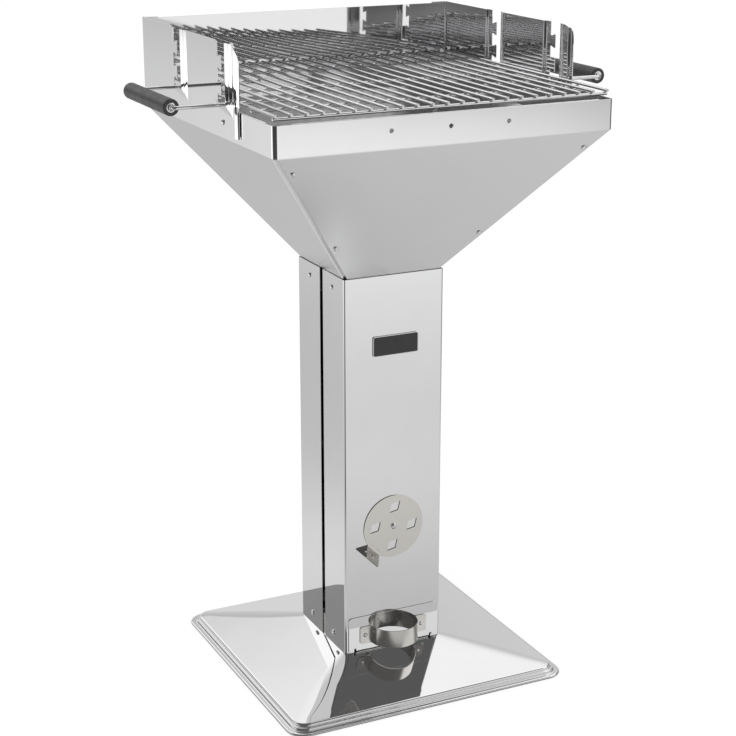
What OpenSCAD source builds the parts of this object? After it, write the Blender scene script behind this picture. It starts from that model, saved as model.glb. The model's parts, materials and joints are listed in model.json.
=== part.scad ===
// Column charcoal grill in polished sheet steel: pressed foot, square column, sheet funnel,
// windshield with height slots, lift-out cooking grate, ash drawer and air damper.
// Origin: floor level under the centre of the column. Front faces -Y, width along X, up is +Z.

/* [Foot] */
// Width of the foot across its outer flange
foot_w = 424; // [360:1:520]
// Depth of the foot across its outer flange
foot_d = 410; // [360:1:520]
// Height of the plate that the column stands on
stand_h = 37; // [30:1:60]
// Sheet thickness of the foot
foot_sheet = 1.2; // [0.8:0.1:2]
// Corner radius of the outer flange
foot_corner_r = 26; // [18:1:40]
// Width of the outer flange
flange_w = 9; // [6:0.5:14]
// Width of the ledge between the flange and the sloping face
ledge_w = 5; // [3:0.5:9]
// Height of the outer flange
flange_h = 4; // [3:0.5:7]
// Height of one step of the rim
rim_step_h = 4; // [2:0.5:6]

/* [Column] */
// Width of the column
column_w = 150; // [140:1:180]
// Depth of the column
column_d = 150; // [140:1:180]
// Height of the column
column_h = 548; // [400:1:700]
// Sheet thickness of the column, funnel and windshield
sheet = 1; // [0.8:0.1:1.5]
// Outer bend radius of the column corners
column_bend_r = 2.5; // [2:0.5:6]
// Width of the vertical gap between the two column shells
shell_gap = 10; // [2:0.5:16]
// Place of that gap from front to back
shell_gap_y = -2.5; // [-12:0.5:12]

/* [Funnel] */
// Width of the fire tray
tray_w = 474; // [420:1:560]
// Depth of the fire tray
tray_d = 456; // [400:1:540]
// Height of the sloping part of the funnel
funnel_h = 199; // [150:1:260]
// Height of the upright rim band
rim_h = 41; // [34:1:60]
// Dark gap between the column and the funnel
neck_gap = 2; // [1:0.5:4]
// Depth of the collar that goes down into the column
collar_h = 36; // [30:1:60]
// Width of the flanges on the side panels, behind the front and rear panels
hip_flange_w = 22; // [18:1:30]
// Pitch of the three accessory holes in the front rim
accessory_pitch = 82; // [60:1:100]
// Radius of the accessory holes
accessory_hole_r = 3; // [2:0.5:4]

/* [Windshield] */
// Height of the windshield above the rim
wind_h = 80; // [60:1:110]
// Height of the overlap of the windshield on the rim band
wind_overlap_h = 33; // [26:1:33]
// Distance from the front rim to the front end of the side walls
wall_setback = 102; // [92:1:112]
// Radius of the top front corner of the side walls
wall_corner_r = 24; // [10:1:40]
// Depth of the beads pressed outward in the side walls
bead_depth = 3.5; // [3:0.5:6]
// Width of the height slots
slot_w = 24.5; // [22:0.5:28]
// Width of the teeth in the height slots
tooth_w = 12.2; // [10:0.1:13]

/* [Cooking grate] */
// Number of bars
bar_count = 23; // [15:1:29]
// Diameter of the bars
bar_dia = 4; // [3:0.5:5]
// Diameter of the cross rods
rod_dia = 4.5; // [4:0.5:5.5]
// Diameter of the handle wires
handle_wire_dia = 5; // [4:0.5:6]
// Distance between the two arms of a handle wire
handle_span = 164; // [162:1:164]
// Reach of the handles outside the tray
handle_reach = 72; // [60:1:90]
// Diameter of the handle grips
grip_dia = 21.4; // [18:0.2:26]

/* [Damper] */
// Diameter of the air damper disc
damper_dia = 92; // [80:1:100]
// Height of the damper screw above the floor
damper_z = 221; // [180:1:300]
// Side length of the rhombic air holes
air_hole_side = 13.6; // [10:0.2:14]
// Acute angle of the rhombic air holes
air_hole_angle = 66; // [50:1:90]

/* [Ash drawer] */
// Width of the drawer front
drawer_front_w = 140; // [134:1:142]
// Height of the drawer front
drawer_front_h = 51.5; // [48:0.5:60]
// Width of the ash pan
pan_w = 117; // [100:1:118]
// Depth of the ash pan
pan_d = 141; // [120:1:144]
// Height of the ash pan walls
pan_h = 34; // [25:1:38]
// Outer radius of the half-ring handle
ring_r = 39.7; // [30:0.1:42]
// Height of the handle strap
strap_h = 26; // [18:1:30]

/* [Name plate] */
// Width of the bare plate on the column
plate_w = 69; // [40:1:90]
// Height of the bare plate
plate_h = 29; // [15:1:40]
// Height of the middle of the plate above the floor
plate_z = 487; // [300:1:540]

/* [Hidden] */
$fn = 48;

// Overrun of every cut past the face it opens
over = 1;
// Gap between faces of pieces that are bolted together
seat_gap = 0.1;
// Gap between a piece that can move and what it rests on
rest_gap = 0.3;
// Facets of the rounded corners inside a hull
hull_fn = 32;

// Screws
screw_r = 2;
screw_hole_r = 2.1;
head_r = 4;
head_h = 2.4;
nut_r = 4.05;
nut_h = 3;
nut_bore_r = 2.05;
screw_tail = 2;

// Foot rim, worked out from the outside in
ledge_out_w = foot_w - 2 * flange_w;
ledge_out_d = foot_d - 2 * flange_w;
face_w = ledge_out_w - 2 * ledge_w;
face_d = ledge_out_d - 2 * ledge_w;
ledge_corner_r = foot_corner_r - flange_w;
face_corner_r = ledge_corner_r - ledge_w;
ledge_h = flange_h + rim_step_h;
face_edge_h = ledge_h + rim_step_h;
// Margin of the stand plate round the column
stand_margin = 0.5;
stand_w = column_w + 2 * stand_margin;
stand_d = column_d + 2 * stand_margin;
hull_slice = 0.01;

// Angle brackets between the foot and the column
bracket_len = 100;
bracket_leg_h = 33;
bracket_leg_w = 13.4;
bracket_sheet = 1.2;
rivet_spread = 60;
rivet_r = 1.6;
rivet_hole_r = 1.65;
rivet_head_r = 3.2;
rivet_head_h = 1.4;

// Column
column_top = stand_h + column_h;
shell_front_end = shell_gap_y - shell_gap / 2;
shell_rear_end = shell_gap_y + shell_gap / 2;
side_bolt_spread = 72;
column_bolt_edge = 18;
base_bolt_z = stand_h + column_bolt_edge;
top_bolt_z = column_top - column_bolt_edge;

// Ash drawer opening in the column, open at its lower edge
mouth_w = 122;
mouth_h = 47;
mouth_corner_r = 3;

// Funnel
neck_half_w = column_w / 2;
neck_half_d = column_d / 2;
collar_clear = 0.2;
collar_half_w = neck_half_w - sheet - collar_clear;
collar_half_d = neck_half_d - sheet - collar_clear;
neck_z = column_top + neck_gap;
fold_z = neck_z + funnel_h;
rim_top = fold_z + rim_h;
collar_z = neck_z - collar_h;
corner_gap = 3.2;
layer_gap = 0.15;
hem_h = 8;
accessory_drop = 18;
accessory_z = rim_top - accessory_drop;
hip_bolt_in = 13.5;
hip_bolt_rises = [54, 176];

// Windshield
wind_top = rim_top + wind_h;
wind_bottom = rim_top - wind_overlap_h;
wall_front = -tray_d / 2 + wall_setback;
rear_wall_y = tray_d / 2 + seat_gap;
tab_y = rear_wall_y + sheet + seat_gap;
wall_back = tab_y + sheet;
rear_wall_drop = 1.5;
slot_rise = 1.7;
slot_bottom = rim_top + slot_rise;
slot_pair_y = -3;
front_slot_lead = 3;
rear_slot_lead = 8.8;
slot_fronts = [
    slot_pair_y - handle_span / 2 - front_slot_lead,
    slot_pair_y + handle_span / 2 - rear_slot_lead
];
bead_back_margin = 12;
bead_step_w = 1.5;
bead_ramp_w = 12;
bead_foot_drop = 12;
bead_foot_inset = 5;
end_bead_w = 21.5;
end_bead_step_w = 3.5;
tooth_root_h = 14;
tooth_ear_h = 2.9;
tooth_ear_w = 8.5;
tooth_mid_shares = [0.675, 0.27];
slot_corner_r = 3;
corner_tab_w = 23;
band_bolt_drop = 20;
band_bolt_z = rim_top - band_bolt_drop;
side_band_bolt_ys = [-70, 130];
rear_band_bolt_spread = 240;
corner_bolt_in = 13.5;
corner_bolt_rise = 9;
corner_bolt_drop = 21.5;
corner_bolt_zs = [rim_top + corner_bolt_rise, wind_top - corner_bolt_drop];

// Cooking grate
arm_z = slot_bottom + rest_gap + handle_wire_dia / 2;
bar_z = arm_z + handle_wire_dia / 2 + seat_gap + bar_dia / 2;
rod_z = bar_z - bar_dia / 2 - seat_gap - rod_dia / 2;
bar_edge = 6;
bar_half_span = tray_w / 2 - bar_edge;
bar_pitch = 2 * bar_half_span / (bar_count - 1);
bar_end_in = 7;
bar_end = tray_d / 2 - bar_end_in;
rod_end_in = 4;
rod_end = tray_w / 2 - rod_end_in;
rod_in = 5;
rod_spread = 300;
rod_ys = [-bar_end + rod_in, -rod_spread / 2, 0, rod_spread / 2, bar_end - rod_in];
arm_inside = 112;
handle_bend_r = 5;
grip_x = tray_w / 2 + handle_reach;
grip_end_gap = 0.6;
grip_half = handle_span / 2 - handle_bend_r - grip_end_gap;
grip_clear = 0.06;
grip_bore_r = handle_wire_dia / 2 + grip_clear;
grip_edge_r = 2;
ferrule_r = 6.4;
ferrule_recess_r = 6.45;
ferrule_h = 2;

// Charcoal grate, resting on the slopes of the funnel
coal_rise = 113;
coal_z = neck_z + coal_rise;
coal_wire_r = 2.5;
coal_bar_r = 2;
coal_bar_count = 15;
coal_corner_r = 34;

// Damper
damper_sheet = 1;
damper_y = -column_d / 2 - rest_gap;
damper_pivot_r = 2.06;
air_hole_orbit = 28.5;
air_hole_lean = 43;
air_hole_turn = -4;
column_hole_turn = air_hole_turn + 45;
air_hole_count = 4;
tab_w = 25.7;
tab_len = 22;
tab_bend = 50;
tab_side = 225;
tab_root = 6;
tab_fold_in = 1.6;
tab_fold = damper_dia / 2 - tab_fold_in;
tab_relief = 0.8;
tab_hole_r = 2.6;
washer_r = 5;
washer_h = 0.5;
washer_gap = 0.05;
pan_head_r = 4.2;
pan_head_h = 2.3;
cross_w = 0.9;
cross_l = 4.6;
cross_depth = 1.2;

// Ash drawer
front_lift = 2.5;
front_corner_r = 5;
front_sheet = 1;
front_gap = 0.2;
front_y = -column_d / 2 - front_gap;
pan_gap = 0.4;
strap_sheet = 1.2;
strap_tab_w = 13;
strap_tab_clip = 3;
strap_mid_h = 25;
strap_mid_z = stand_h + strap_mid_h;
drawer_rivet_x = 45.5;

// Name plate
plate_x = 2;
plate_sheet = 1.2;
plate_corner_r = 3;
plate_rim_w = 1.4;
plate_rim_h = 1.6;

// Length of a two-part vector
function length2(run, rise) = sqrt(run * run + rise * rise);

// Points of a funnel panel's section, from the collar up to the rim, set in by inset
function panel_path(top_half, neck_half, collar_half, inset) =
    let (
        run = top_half - neck_half,
        shift = inset * length2(run, funnel_h) / funnel_h,
        collar_u = collar_half - inset,
        band_u = top_half - inset,
        z_low = neck_z + (collar_u - neck_half + shift) * funnel_h / run,
        z_high = neck_z + (band_u - neck_half + shift) * funnel_h / run
    )
    [[collar_u, collar_z], [collar_u, z_low], [band_u, z_high], [band_u, rim_top]];

function side_path(inset) = panel_path(tray_w / 2, neck_half_w, collar_half_w, inset);
function front_path(inset) = panel_path(tray_d / 2, neck_half_d, collar_half_d, inset);
function reversed(points) = [for (i = [len(points) - 1:-1:0]) points[i]];
function flipped(points) = [for (p = points) [-p[0], p[1]]];

// Half width of the funnel's outer surface at a height above the neck
function funnel_half_w(rise) = neck_half_w + rise * (tray_w / 2 - neck_half_w) / funnel_h;
function funnel_half_d(rise) = neck_half_d + rise * (tray_d / 2 - neck_half_d) / funnel_h;

// Outline helpers
module rounded_rect(w, d, r) {
    square([w - 2 * r, d], center = true);
    square([w, d - 2 * r], center = true);
    for (x = [-1, 1], y = [-1, 1])
        translate([x * (w / 2 - r), y * (d / 2 - r)]) circle(r = r);
}

// Stands an outline up, so that its own up is +Z, and gives it a thickness towards -Y
module upright(thick) {
    rotate([90, 0, 0]) linear_extrude(thick) children();
}

// Fasteners point along +Z, with the head's seat at zero
module dome_head(r, h) {
    ball_r = (r * r + h * h) / (2 * h);
    intersection() {
        translate([0, 0, h - ball_r]) sphere(r = ball_r);
        cylinder(r = r, h = h);
    }
}

module dome_bolt(grip_len) {
    dome_head(head_r, head_h);
    translate([0, 0, -grip_len - nut_h - screw_tail])
        cylinder(r = screw_r, h = grip_len + nut_h + screw_tail + head_h / 2);
}

module hex_nut() {
    difference() {
        cylinder(r = nut_r, h = nut_h, $fn = 6);
        translate([0, 0, -over]) cylinder(r = nut_bore_r, h = nut_h + 2 * over);
    }
}

module screw_hole() {
    translate([0, 0, -4 * sheet - over]) cylinder(r = screw_hole_r, h = 8 * sheet + 2 * over);
}

module pop_rivet(grip_len) {
    dome_head(rivet_head_r, rivet_head_h);
    translate([0, 0, -grip_len - rivet_head_h])
        cylinder(r = rivet_r, h = grip_len + rivet_head_h + rivet_head_h / 2);
    translate([0, 0, -grip_len - rivet_head_h]) cylinder(r = rivet_head_r - rivet_r / 2, h = rivet_head_h);
}

// Foot
module face_outline(inset) {
    rounded_rect(face_w - 2 * inset, face_d - 2 * inset, face_corner_r - inset);
}

module foot_form(inset, drop) {
    linear_extrude(flange_h - drop)
        rounded_rect(foot_w - 2 * inset, foot_d - 2 * inset, foot_corner_r - inset);
    linear_extrude(ledge_h - drop)
        rounded_rect(ledge_out_w - 2 * inset, ledge_out_d - 2 * inset, ledge_corner_r - inset);
    linear_extrude(face_edge_h - drop - hull_slice / 2)
        face_outline(inset);
    hull() {
        translate([0, 0, face_edge_h - drop - hull_slice])
            linear_extrude(hull_slice)
                face_outline(inset, $fn = hull_fn);
        translate([0, 0, stand_h - drop - hull_slice])
            linear_extrude(hull_slice)
                rounded_rect(stand_w, stand_d, column_bend_r, $fn = hull_fn);
    }
}

module foot() {
    color("silver")
    difference() {
        foot_form(0, 0);
        translate([0, 0, -over]) foot_form(foot_sheet, foot_sheet - over);
        for (s = [-1, 1]) bracket_rivet_places(s)
            translate([0, 0, -bracket_leg_h]) cylinder(r = rivet_hole_r, h = 2 * bracket_leg_h);
    }
}

module bracket_rivet_places(side) {
    for (e = [-1, 1])
        translate([side * (collar_half_w - bracket_leg_w / 2), e * rivet_spread / 2, stand_h + bracket_sheet])
            children();
}

// Places of the bolts on one side of the column, pointing outward
module side_bolt_places(z) {
    for (side = [-1, 1], e = [-1, 1])
        translate([side * column_w / 2, e * side_bolt_spread / 2, z]) rotate([0, side * 90, 0]) children();
}

module foot_bracket(side) {
    color("gray")
    difference() {
        union() {
            translate([side * collar_half_w - (side + 1) / 2 * bracket_sheet, -bracket_len / 2, stand_h])
                cube([bracket_sheet, bracket_len, bracket_leg_h]);
            translate([side * collar_half_w - (side + 1) / 2 * bracket_leg_w, -bracket_len / 2, stand_h])
                cube([bracket_leg_w, bracket_len, bracket_sheet]);
        }
        side_bolt_places(base_bolt_z) screw_hole();
        bracket_rivet_places(side)
            translate([0, 0, -bracket_sheet - over]) cylinder(r = rivet_hole_r, h = bracket_sheet + 2 * over);
    }
}

module foot_bracket_left() { foot_bracket(-1); }
module foot_bracket_right() { foot_bracket(1); }

module bracket_rivets() {
    color("gray")
    for (s = [-1, 1]) bracket_rivet_places(s) pop_rivet(bracket_sheet + foot_sheet);
}

// Column
module column_section() {
    difference() {
        rounded_rect(column_w, column_d, column_bend_r);
        rounded_rect(column_w - 2 * sheet, column_d - 2 * sheet, column_bend_r - sheet);
    }
}

module column_shell(y_low, y_high) {
    translate([0, 0, stand_h])
        linear_extrude(column_h)
            intersection() {
                column_section();
                translate([-column_w, y_low]) square([2 * column_w, y_high - y_low]);
            }
}

module air_hole_outline() {
    a = air_hole_side * cos(air_hole_angle / 2);
    b = air_hole_side * sin(air_hole_angle / 2);
    rotate(air_hole_lean) polygon([[a, 0], [0, b], [-a, 0], [0, -b]]);
}

module air_holes(turn) {
    for (i = [0:air_hole_count - 1]) {
        angle = turn + i * 360 / air_hole_count;
        translate([air_hole_orbit * cos(angle), air_hole_orbit * sin(angle)]) air_hole_outline();
    }
}

module mouth_outline() {
    translate([0, mouth_h / 2 - over / 2])
        square([mouth_w - 2 * mouth_corner_r, mouth_h + over], center = true);
    translate([0, (mouth_h - mouth_corner_r) / 2 - over / 2])
        square([mouth_w, mouth_h - mouth_corner_r + over], center = true);
    for (s = [-1, 1])
        translate([s * (mouth_w / 2 - mouth_corner_r), mouth_h - mouth_corner_r]) circle(r = mouth_corner_r);
}

module column_front() {
    color("silver")
    difference() {
        column_shell(-column_d, shell_front_end);
        translate([0, -column_d / 2 + 2 * sheet, damper_z]) upright(4 * sheet) air_holes(column_hole_turn);
        translate([0, -column_d / 2 + 2 * sheet, damper_z]) upright(4 * sheet) circle(r = screw_hole_r);
        translate([0, -column_d / 2 + 2 * sheet, stand_h]) upright(4 * sheet) mouth_outline();
        side_bolt_places(base_bolt_z) screw_hole();
        side_bolt_places(top_bolt_z) screw_hole();
    }
}

module column_rear() {
    color("silver")
    difference() {
        column_shell(shell_rear_end, column_d);
        side_bolt_places(base_bolt_z) screw_hole();
        side_bolt_places(top_bolt_z) screw_hole();
    }
}

module column_base_bolts() {
    color("lightgray") side_bolt_places(base_bolt_z) dome_bolt(sheet + collar_clear + bracket_sheet);
}

module column_base_nuts() {
    color("gray")
    side_bolt_places(base_bolt_z) translate([0, 0, -sheet - collar_clear - bracket_sheet - nut_h]) hex_nut();
}

module column_top_bolts() {
    color("lightgray") side_bolt_places(top_bolt_z) dome_bolt(2 * sheet + collar_clear);
}

module column_top_nuts() {
    color("gray")
    side_bolt_places(top_bolt_z) translate([0, 0, -2 * sheet - collar_clear - nut_h]) hex_nut();
}

// Funnel: sections are drawn with the outward way along +X and then turned to their side
module front_facing(half_len) {
    rotate([0, 0, -90]) translate([0, half_len, 0]) upright(2 * half_len) children();
}

module left_facing(half_len) {
    mirror([1, 0, 0]) translate([0, half_len, 0]) upright(2 * half_len) children();
}

module front_strip(inset, thick) {
    front_facing(tray_w) polygon(concat(front_path(inset), reversed(front_path(inset + thick))));
}

module left_strip(inset, thick) {
    left_facing(tray_d) polygon(concat(side_path(inset), reversed(side_path(inset + thick))));
}

// Everything inside the funnel's front view, set in from its edges
module front_view_region(inset) {
    translate([0, tray_d, 0]) upright(2 * tray_d)
        polygon(concat(side_path(inset), reversed(flipped(side_path(inset)))));
}

module side_view_region(inset) {
    rotate([0, 0, 90]) translate([0, tray_w, 0]) upright(2 * tray_w)
        polygon(concat(front_path(inset), reversed(flipped(front_path(inset)))));
}

// Places of the hip bolts on the front slope, pointing out of it
module front_hip_bolt_places() {
    lean = atan2(tray_d / 2 - neck_half_d, funnel_h);
    for (rise = hip_bolt_rises, s = [-1, 1])
        translate([s * (funnel_half_w(rise) - hip_bolt_in), -funnel_half_d(rise), neck_z + rise])
            rotate([90 + lean, 0, 0]) children();
}

module accessory_holes() {
    for (i = [-1:1])
        translate([i * accessory_pitch, -tray_d / 2 + 2 * sheet, accessory_z])
            upright(4 * sheet) circle(r = accessory_hole_r);
}

module rear_band_bolt_places() {
    for (s = [-1, 1])
        translate([s * rear_band_bolt_spread / 2, rear_wall_y + sheet, band_bolt_z])
            rotate([-90, 0, 0]) children();
}

module left_band_bolt_places() {
    for (y = side_band_bolt_ys)
        translate([-tray_w / 2 - seat_gap - sheet, y, band_bolt_z]) rotate([0, -90, 0]) children();
}

module front_panel() {
    difference() {
        union() {
            intersection() {
                front_strip(0, sheet);
                front_view_region(corner_gap);
            }
            intersection() {
                front_strip(0, 2 * sheet);
                front_view_region(hip_flange_w + over);
                translate([-tray_w, -tray_d, rim_top - hem_h]) cube([2 * tray_w, tray_d, hem_h]);
            }
        }
        front_hip_bolt_places() screw_hole();
    }
}

module funnel_front() {
    color("silver")
    difference() {
        front_panel();
        accessory_holes();
    }
}

module funnel_rear() {
    color("silver")
    difference() {
        mirror([0, 1, 0]) front_panel();
        rear_band_bolt_places() screw_hole();
    }
}

module side_panel() {
    flange_inset = sheet + layer_gap;
    difference() {
        union() {
            intersection() {
                left_strip(0, sheet);
                side_view_region(flange_inset);
            }
            for (m = [0, 1]) mirror([0, m, 0]) intersection() {
                front_strip(flange_inset, sheet);
                difference() {
                    front_view_region(0);
                    front_view_region(hip_flange_w);
                }
                translate([-tray_w, -tray_d, 0]) cube([tray_w, 2 * tray_d, wind_top]);
            }
            intersection() {
                left_strip(0, 2 * sheet);
                side_view_region(hip_flange_w + over);
                translate([-tray_w, -tray_d, rim_top - hem_h]) cube([tray_w, 2 * tray_d, hem_h]);
            }
        }
        for (m = [0, 1]) mirror([0, m, 0]) front_hip_bolt_places() screw_hole();
        side_bolt_places(top_bolt_z) screw_hole();
        left_band_bolt_places() screw_hole();
    }
}

module funnel_left() { color("silver") side_panel(); }
module funnel_right() { color("silver") mirror([1, 0, 0]) side_panel(); }

module funnel_bolts() {
    color("lightgray")
    for (m = [0, 1]) mirror([0, m, 0]) front_hip_bolt_places() dome_bolt(2 * sheet + layer_gap);
}

module funnel_nuts() {
    color("gray")
    for (m = [0, 1]) mirror([0, m, 0]) front_hip_bolt_places()
        translate([0, 0, -2 * sheet - layer_gap - nut_h - seat_gap]) hex_nut();
}

// Windshield: a side wall is drawn lying along X, with its outer side towards +Y
module bead_form(front, back, step_w, ramp_w, inset, foot_z) {
    depth = bead_depth - inset;
    low = -inset - (inset > 0 ? over : 0);
    points = [
        [back + step_w - inset, low], [back + step_w - inset, 0],
        [back - inset, depth], [front + ramp_w + inset / 2, depth],
        [front + inset, 0], [front + inset, low]
    ];
    hull() {
        translate([0, 0, slot_bottom]) linear_extrude(wind_top - slot_bottom + inset * over) polygon(points);
        translate([front + ramp_w / 2 + bead_foot_inset, low, foot_z + inset])
            cube([back - front - ramp_w / 2 - 2 * bead_foot_inset, -low + sheet - inset, hull_slice]);
    }
}

module end_bead(inset) {
    depth = bead_depth - inset;
    low = -inset - (inset > 0 ? over : 0);
    back = wall_front + end_bead_w;
    translate([0, 0, wind_bottom - inset * over]) linear_extrude(wind_top - wind_bottom + 2 * inset * over)
        polygon([
            [back - inset / 2, low], [back - inset / 2, 0],
            [back - end_bead_step_w - inset / 2, depth], [wall_front - inset, (inset > 0 ? 0 : sheet)],
            [wall_front - inset, low]
        ]);
}

// Height slot, open at the top, with two eared teeth on its rear side
module slot_outline(front) {
    back = front + slot_w;
    tip = back - tooth_w;
    slot_h = wind_top - slot_bottom;
    difference() {
        union() {
            translate([front, slot_bottom + slot_corner_r]) square([slot_w, slot_h + over]);
            translate([front + slot_corner_r, slot_bottom])
                square([slot_w - 2 * slot_corner_r, 2 * slot_corner_r]);
            for (x = [front + slot_corner_r, back - slot_corner_r])
                translate([x, slot_bottom + slot_corner_r]) circle(r = slot_corner_r);
        }
        for (share = tooth_mid_shares) {
            mid = slot_bottom + share * slot_h;
            half = tooth_root_h / 2;
            polygon([
                [back + over, mid + half], [tip + tooth_ear_w, mid + half], [tip, mid + half + tooth_ear_h],
                [tip, mid - half - tooth_ear_h], [tip + tooth_ear_w, mid - half], [back + over, mid - half]
            ]);
        }
    }
}

module wall_outline() {
    len_y = wall_back - wall_front;
    tall = wind_top - wind_bottom;
    translate([wall_front, wind_bottom]) square([len_y, tall - wall_corner_r]);
    translate([wall_front + wall_corner_r, wind_bottom]) square([len_y - wall_corner_r, tall]);
    translate([wall_front + wall_corner_r, wind_top - wall_corner_r]) circle(r = wall_corner_r);
}

module side_wall() {
    difference() {
        intersection() {
            difference() {
                union() {
                    translate([wall_front, 0, wind_bottom])
                        cube([wall_back - wall_front, sheet, wind_top - wind_bottom]);
                    translate([0, sheet, 0]) wall_beads(0);
                }
                translate([0, sheet, 0]) wall_beads(sheet);
            }
            translate([0, bead_depth + 2 * sheet, 0]) upright(2 * bead_depth + 4 * sheet) wall_outline();
        }
        for (front = slot_fronts)
            translate([0, bead_depth + 2 * sheet, 0]) upright(2 * bead_depth + 4 * sheet) slot_outline(front);
    }
    translate([tab_y, -corner_tab_w, wind_bottom])
        cube([sheet, corner_tab_w + sheet, wind_top - wind_bottom]);
}

module wall_beads(inset) {
    for (front = slot_fronts)
        bead_form(front - bead_ramp_w, front + slot_w + bead_back_margin, bead_step_w, bead_ramp_w, inset,
                  slot_bottom - bead_foot_drop);
    end_bead(inset);
}

// Places of the screws through the rear wall and the tabs of the side walls behind it
module corner_bolt_places() {
    for (z = corner_bolt_zs)
        translate([-tray_w / 2 + corner_bolt_in, wall_back, z]) rotate([-90, 0, 0]) children();
}

module left_wall() {
    difference() {
        translate([-tray_w / 2 - seat_gap, 0, 0]) rotate([0, 0, 90]) side_wall();
        left_band_bolt_places() screw_hole();
        corner_bolt_places() screw_hole();
    }
}

module windshield_left() { color("silver") left_wall(); }
module windshield_right() { color("silver") mirror([1, 0, 0]) left_wall(); }

module windshield_rear() {
    color("silver")
    difference() {
        translate([-tray_w / 2, rear_wall_y, wind_bottom])
            cube([tray_w, sheet, wind_top - rear_wall_drop - wind_bottom]);
        rear_band_bolt_places() screw_hole();
        for (m = [0, 1]) mirror([m, 0, 0]) corner_bolt_places() screw_hole();
    }
}

module windshield_bolts() {
    color("lightgray") {
        for (m = [0, 1]) mirror([m, 0, 0]) {
            left_band_bolt_places() dome_bolt(2 * sheet + seat_gap);
            corner_bolt_places() dome_bolt(2 * sheet + seat_gap);
        }
        rear_band_bolt_places() dome_bolt(2 * sheet + seat_gap);
    }
}

module windshield_nuts() {
    drop = -2 * sheet - seat_gap - nut_h;
    color("gray") {
        for (m = [0, 1]) mirror([m, 0, 0]) {
            left_band_bolt_places() translate([0, 0, drop]) hex_nut();
            corner_bolt_places() translate([0, 0, drop]) hex_nut();
        }
        rear_band_bolt_places() translate([0, 0, drop]) hex_nut();
    }
}

// Cooking grate
module grate_bars() {
    color("gainsboro")
    for (i = [0:bar_count - 1])
        translate([-bar_half_span + i * bar_pitch, bar_end, bar_z])
            rotate([90, 0, 0]) cylinder(d = bar_dia, h = 2 * bar_end);
}

module grate_cross_rods() {
    color("gainsboro")
    for (y = rod_ys)
        translate([-rod_end, y, rod_z]) rotate([0, 90, 0]) cylinder(d = rod_dia, h = 2 * rod_end);
}

// U-shaped handle wire on the right side, with its arms under the bars
module handle_wire() {
    wire_r = handle_wire_dia / 2;
    arm_start = tray_w / 2 - arm_inside;
    arm_len = grip_x - handle_bend_r - arm_start;
    run_half = handle_span / 2 - handle_bend_r;
    translate([0, slot_pair_y, arm_z]) {
        for (s = [-1, 1]) {
            translate([arm_start, s * handle_span / 2, 0])
                rotate([0, 90, 0]) cylinder(r = wire_r, h = arm_len);
            translate([grip_x - handle_bend_r, s * run_half, 0]) rotate([0, 0, s > 0 ? 0 : -90])
                rotate_extrude(angle = 90) translate([handle_bend_r, 0]) circle(r = wire_r);
        }
        translate([grip_x, run_half, 0]) rotate([90, 0, 0]) cylinder(r = wire_r, h = 2 * run_half);
    }
}

module handle_wire_left() { color("gainsboro") mirror([1, 0, 0]) handle_wire(); }
module handle_wire_right() { color("gainsboro") handle_wire(); }

module on_grip_axis(side) {
    translate([side * grip_x, slot_pair_y, arm_z]) rotate([90, 0, 0]) children();
}

module grip_tube() {
    outer = grip_dia / 2;
    rotate_extrude()
        polygon([
            [grip_bore_r, -grip_half + ferrule_h], [ferrule_recess_r, -grip_half + ferrule_h],
            [ferrule_recess_r, -grip_half], [outer - grip_edge_r, -grip_half],
            [outer, -grip_half + grip_edge_r], [outer, grip_half - grip_edge_r],
            [outer - grip_edge_r, grip_half], [ferrule_recess_r, grip_half],
            [ferrule_recess_r, grip_half - ferrule_h], [grip_bore_r, grip_half - ferrule_h]
        ]);
}

module grip_left() { color("black") on_grip_axis(-1) grip_tube(); }
module grip_right() { color("black") on_grip_axis(1) grip_tube(); }

module ferrules() {
    for (e = [-1, 1])
        translate([0, 0, e * (grip_half - ferrule_h / 2)]) difference() {
            cylinder(r = ferrule_r, h = ferrule_h - seat_gap, center = true);
            cylinder(r = grip_bore_r, h = ferrule_h + over, center = true);
        }
}

module grip_ferrules_left() { color("lightgray") on_grip_axis(-1) ferrules(); }
module grip_ferrules_right() { color("lightgray") on_grip_axis(1) ferrules(); }

// Charcoal grate
coal_half_w = funnel_half_w(coal_rise)
    - (sheet + coal_wire_r + rest_gap) * length2(tray_w / 2 - neck_half_w, funnel_h) / funnel_h;
coal_half_d = funnel_half_d(coal_rise)
    - (sheet + coal_wire_r + rest_gap) * length2(tray_d / 2 - neck_half_d, funnel_h) / funnel_h;

module charcoal_grate_frame() {
    color("darkgray")
    translate([0, 0, coal_z]) {
        for (s = [-1, 1]) {
            translate([-coal_half_w + coal_corner_r, s * coal_half_d, 0]) rotate([0, 90, 0])
                cylinder(r = coal_wire_r, h = 2 * (coal_half_w - coal_corner_r));
            translate([s * coal_half_w, coal_half_d - coal_corner_r, 0]) rotate([90, 0, 0])
                cylinder(r = coal_wire_r, h = 2 * (coal_half_d - coal_corner_r));
        }
        for (i = [0:3]) {
            sx = (i == 0 || i == 3) ? 1 : -1;
            sy = i < 2 ? 1 : -1;
            translate([sx * (coal_half_w - coal_corner_r), sy * (coal_half_d - coal_corner_r), 0])
                rotate([0, 0, i * 90]) rotate_extrude(angle = 90)
                    translate([coal_corner_r, 0]) circle(r = coal_wire_r);
        }
    }
}

module charcoal_grate_bars() {
    span = coal_half_w - coal_corner_r;
    coal_bar_z = coal_z + coal_wire_r + coal_bar_r + seat_gap;
    color("darkgray")
    for (i = [0:coal_bar_count - 1])
        translate([-span + 2 * span * i / (coal_bar_count - 1), coal_half_d, coal_bar_z]) rotate([90, 0, 0])
            cylinder(r = coal_bar_r, h = 2 * coal_half_d);
}

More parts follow.
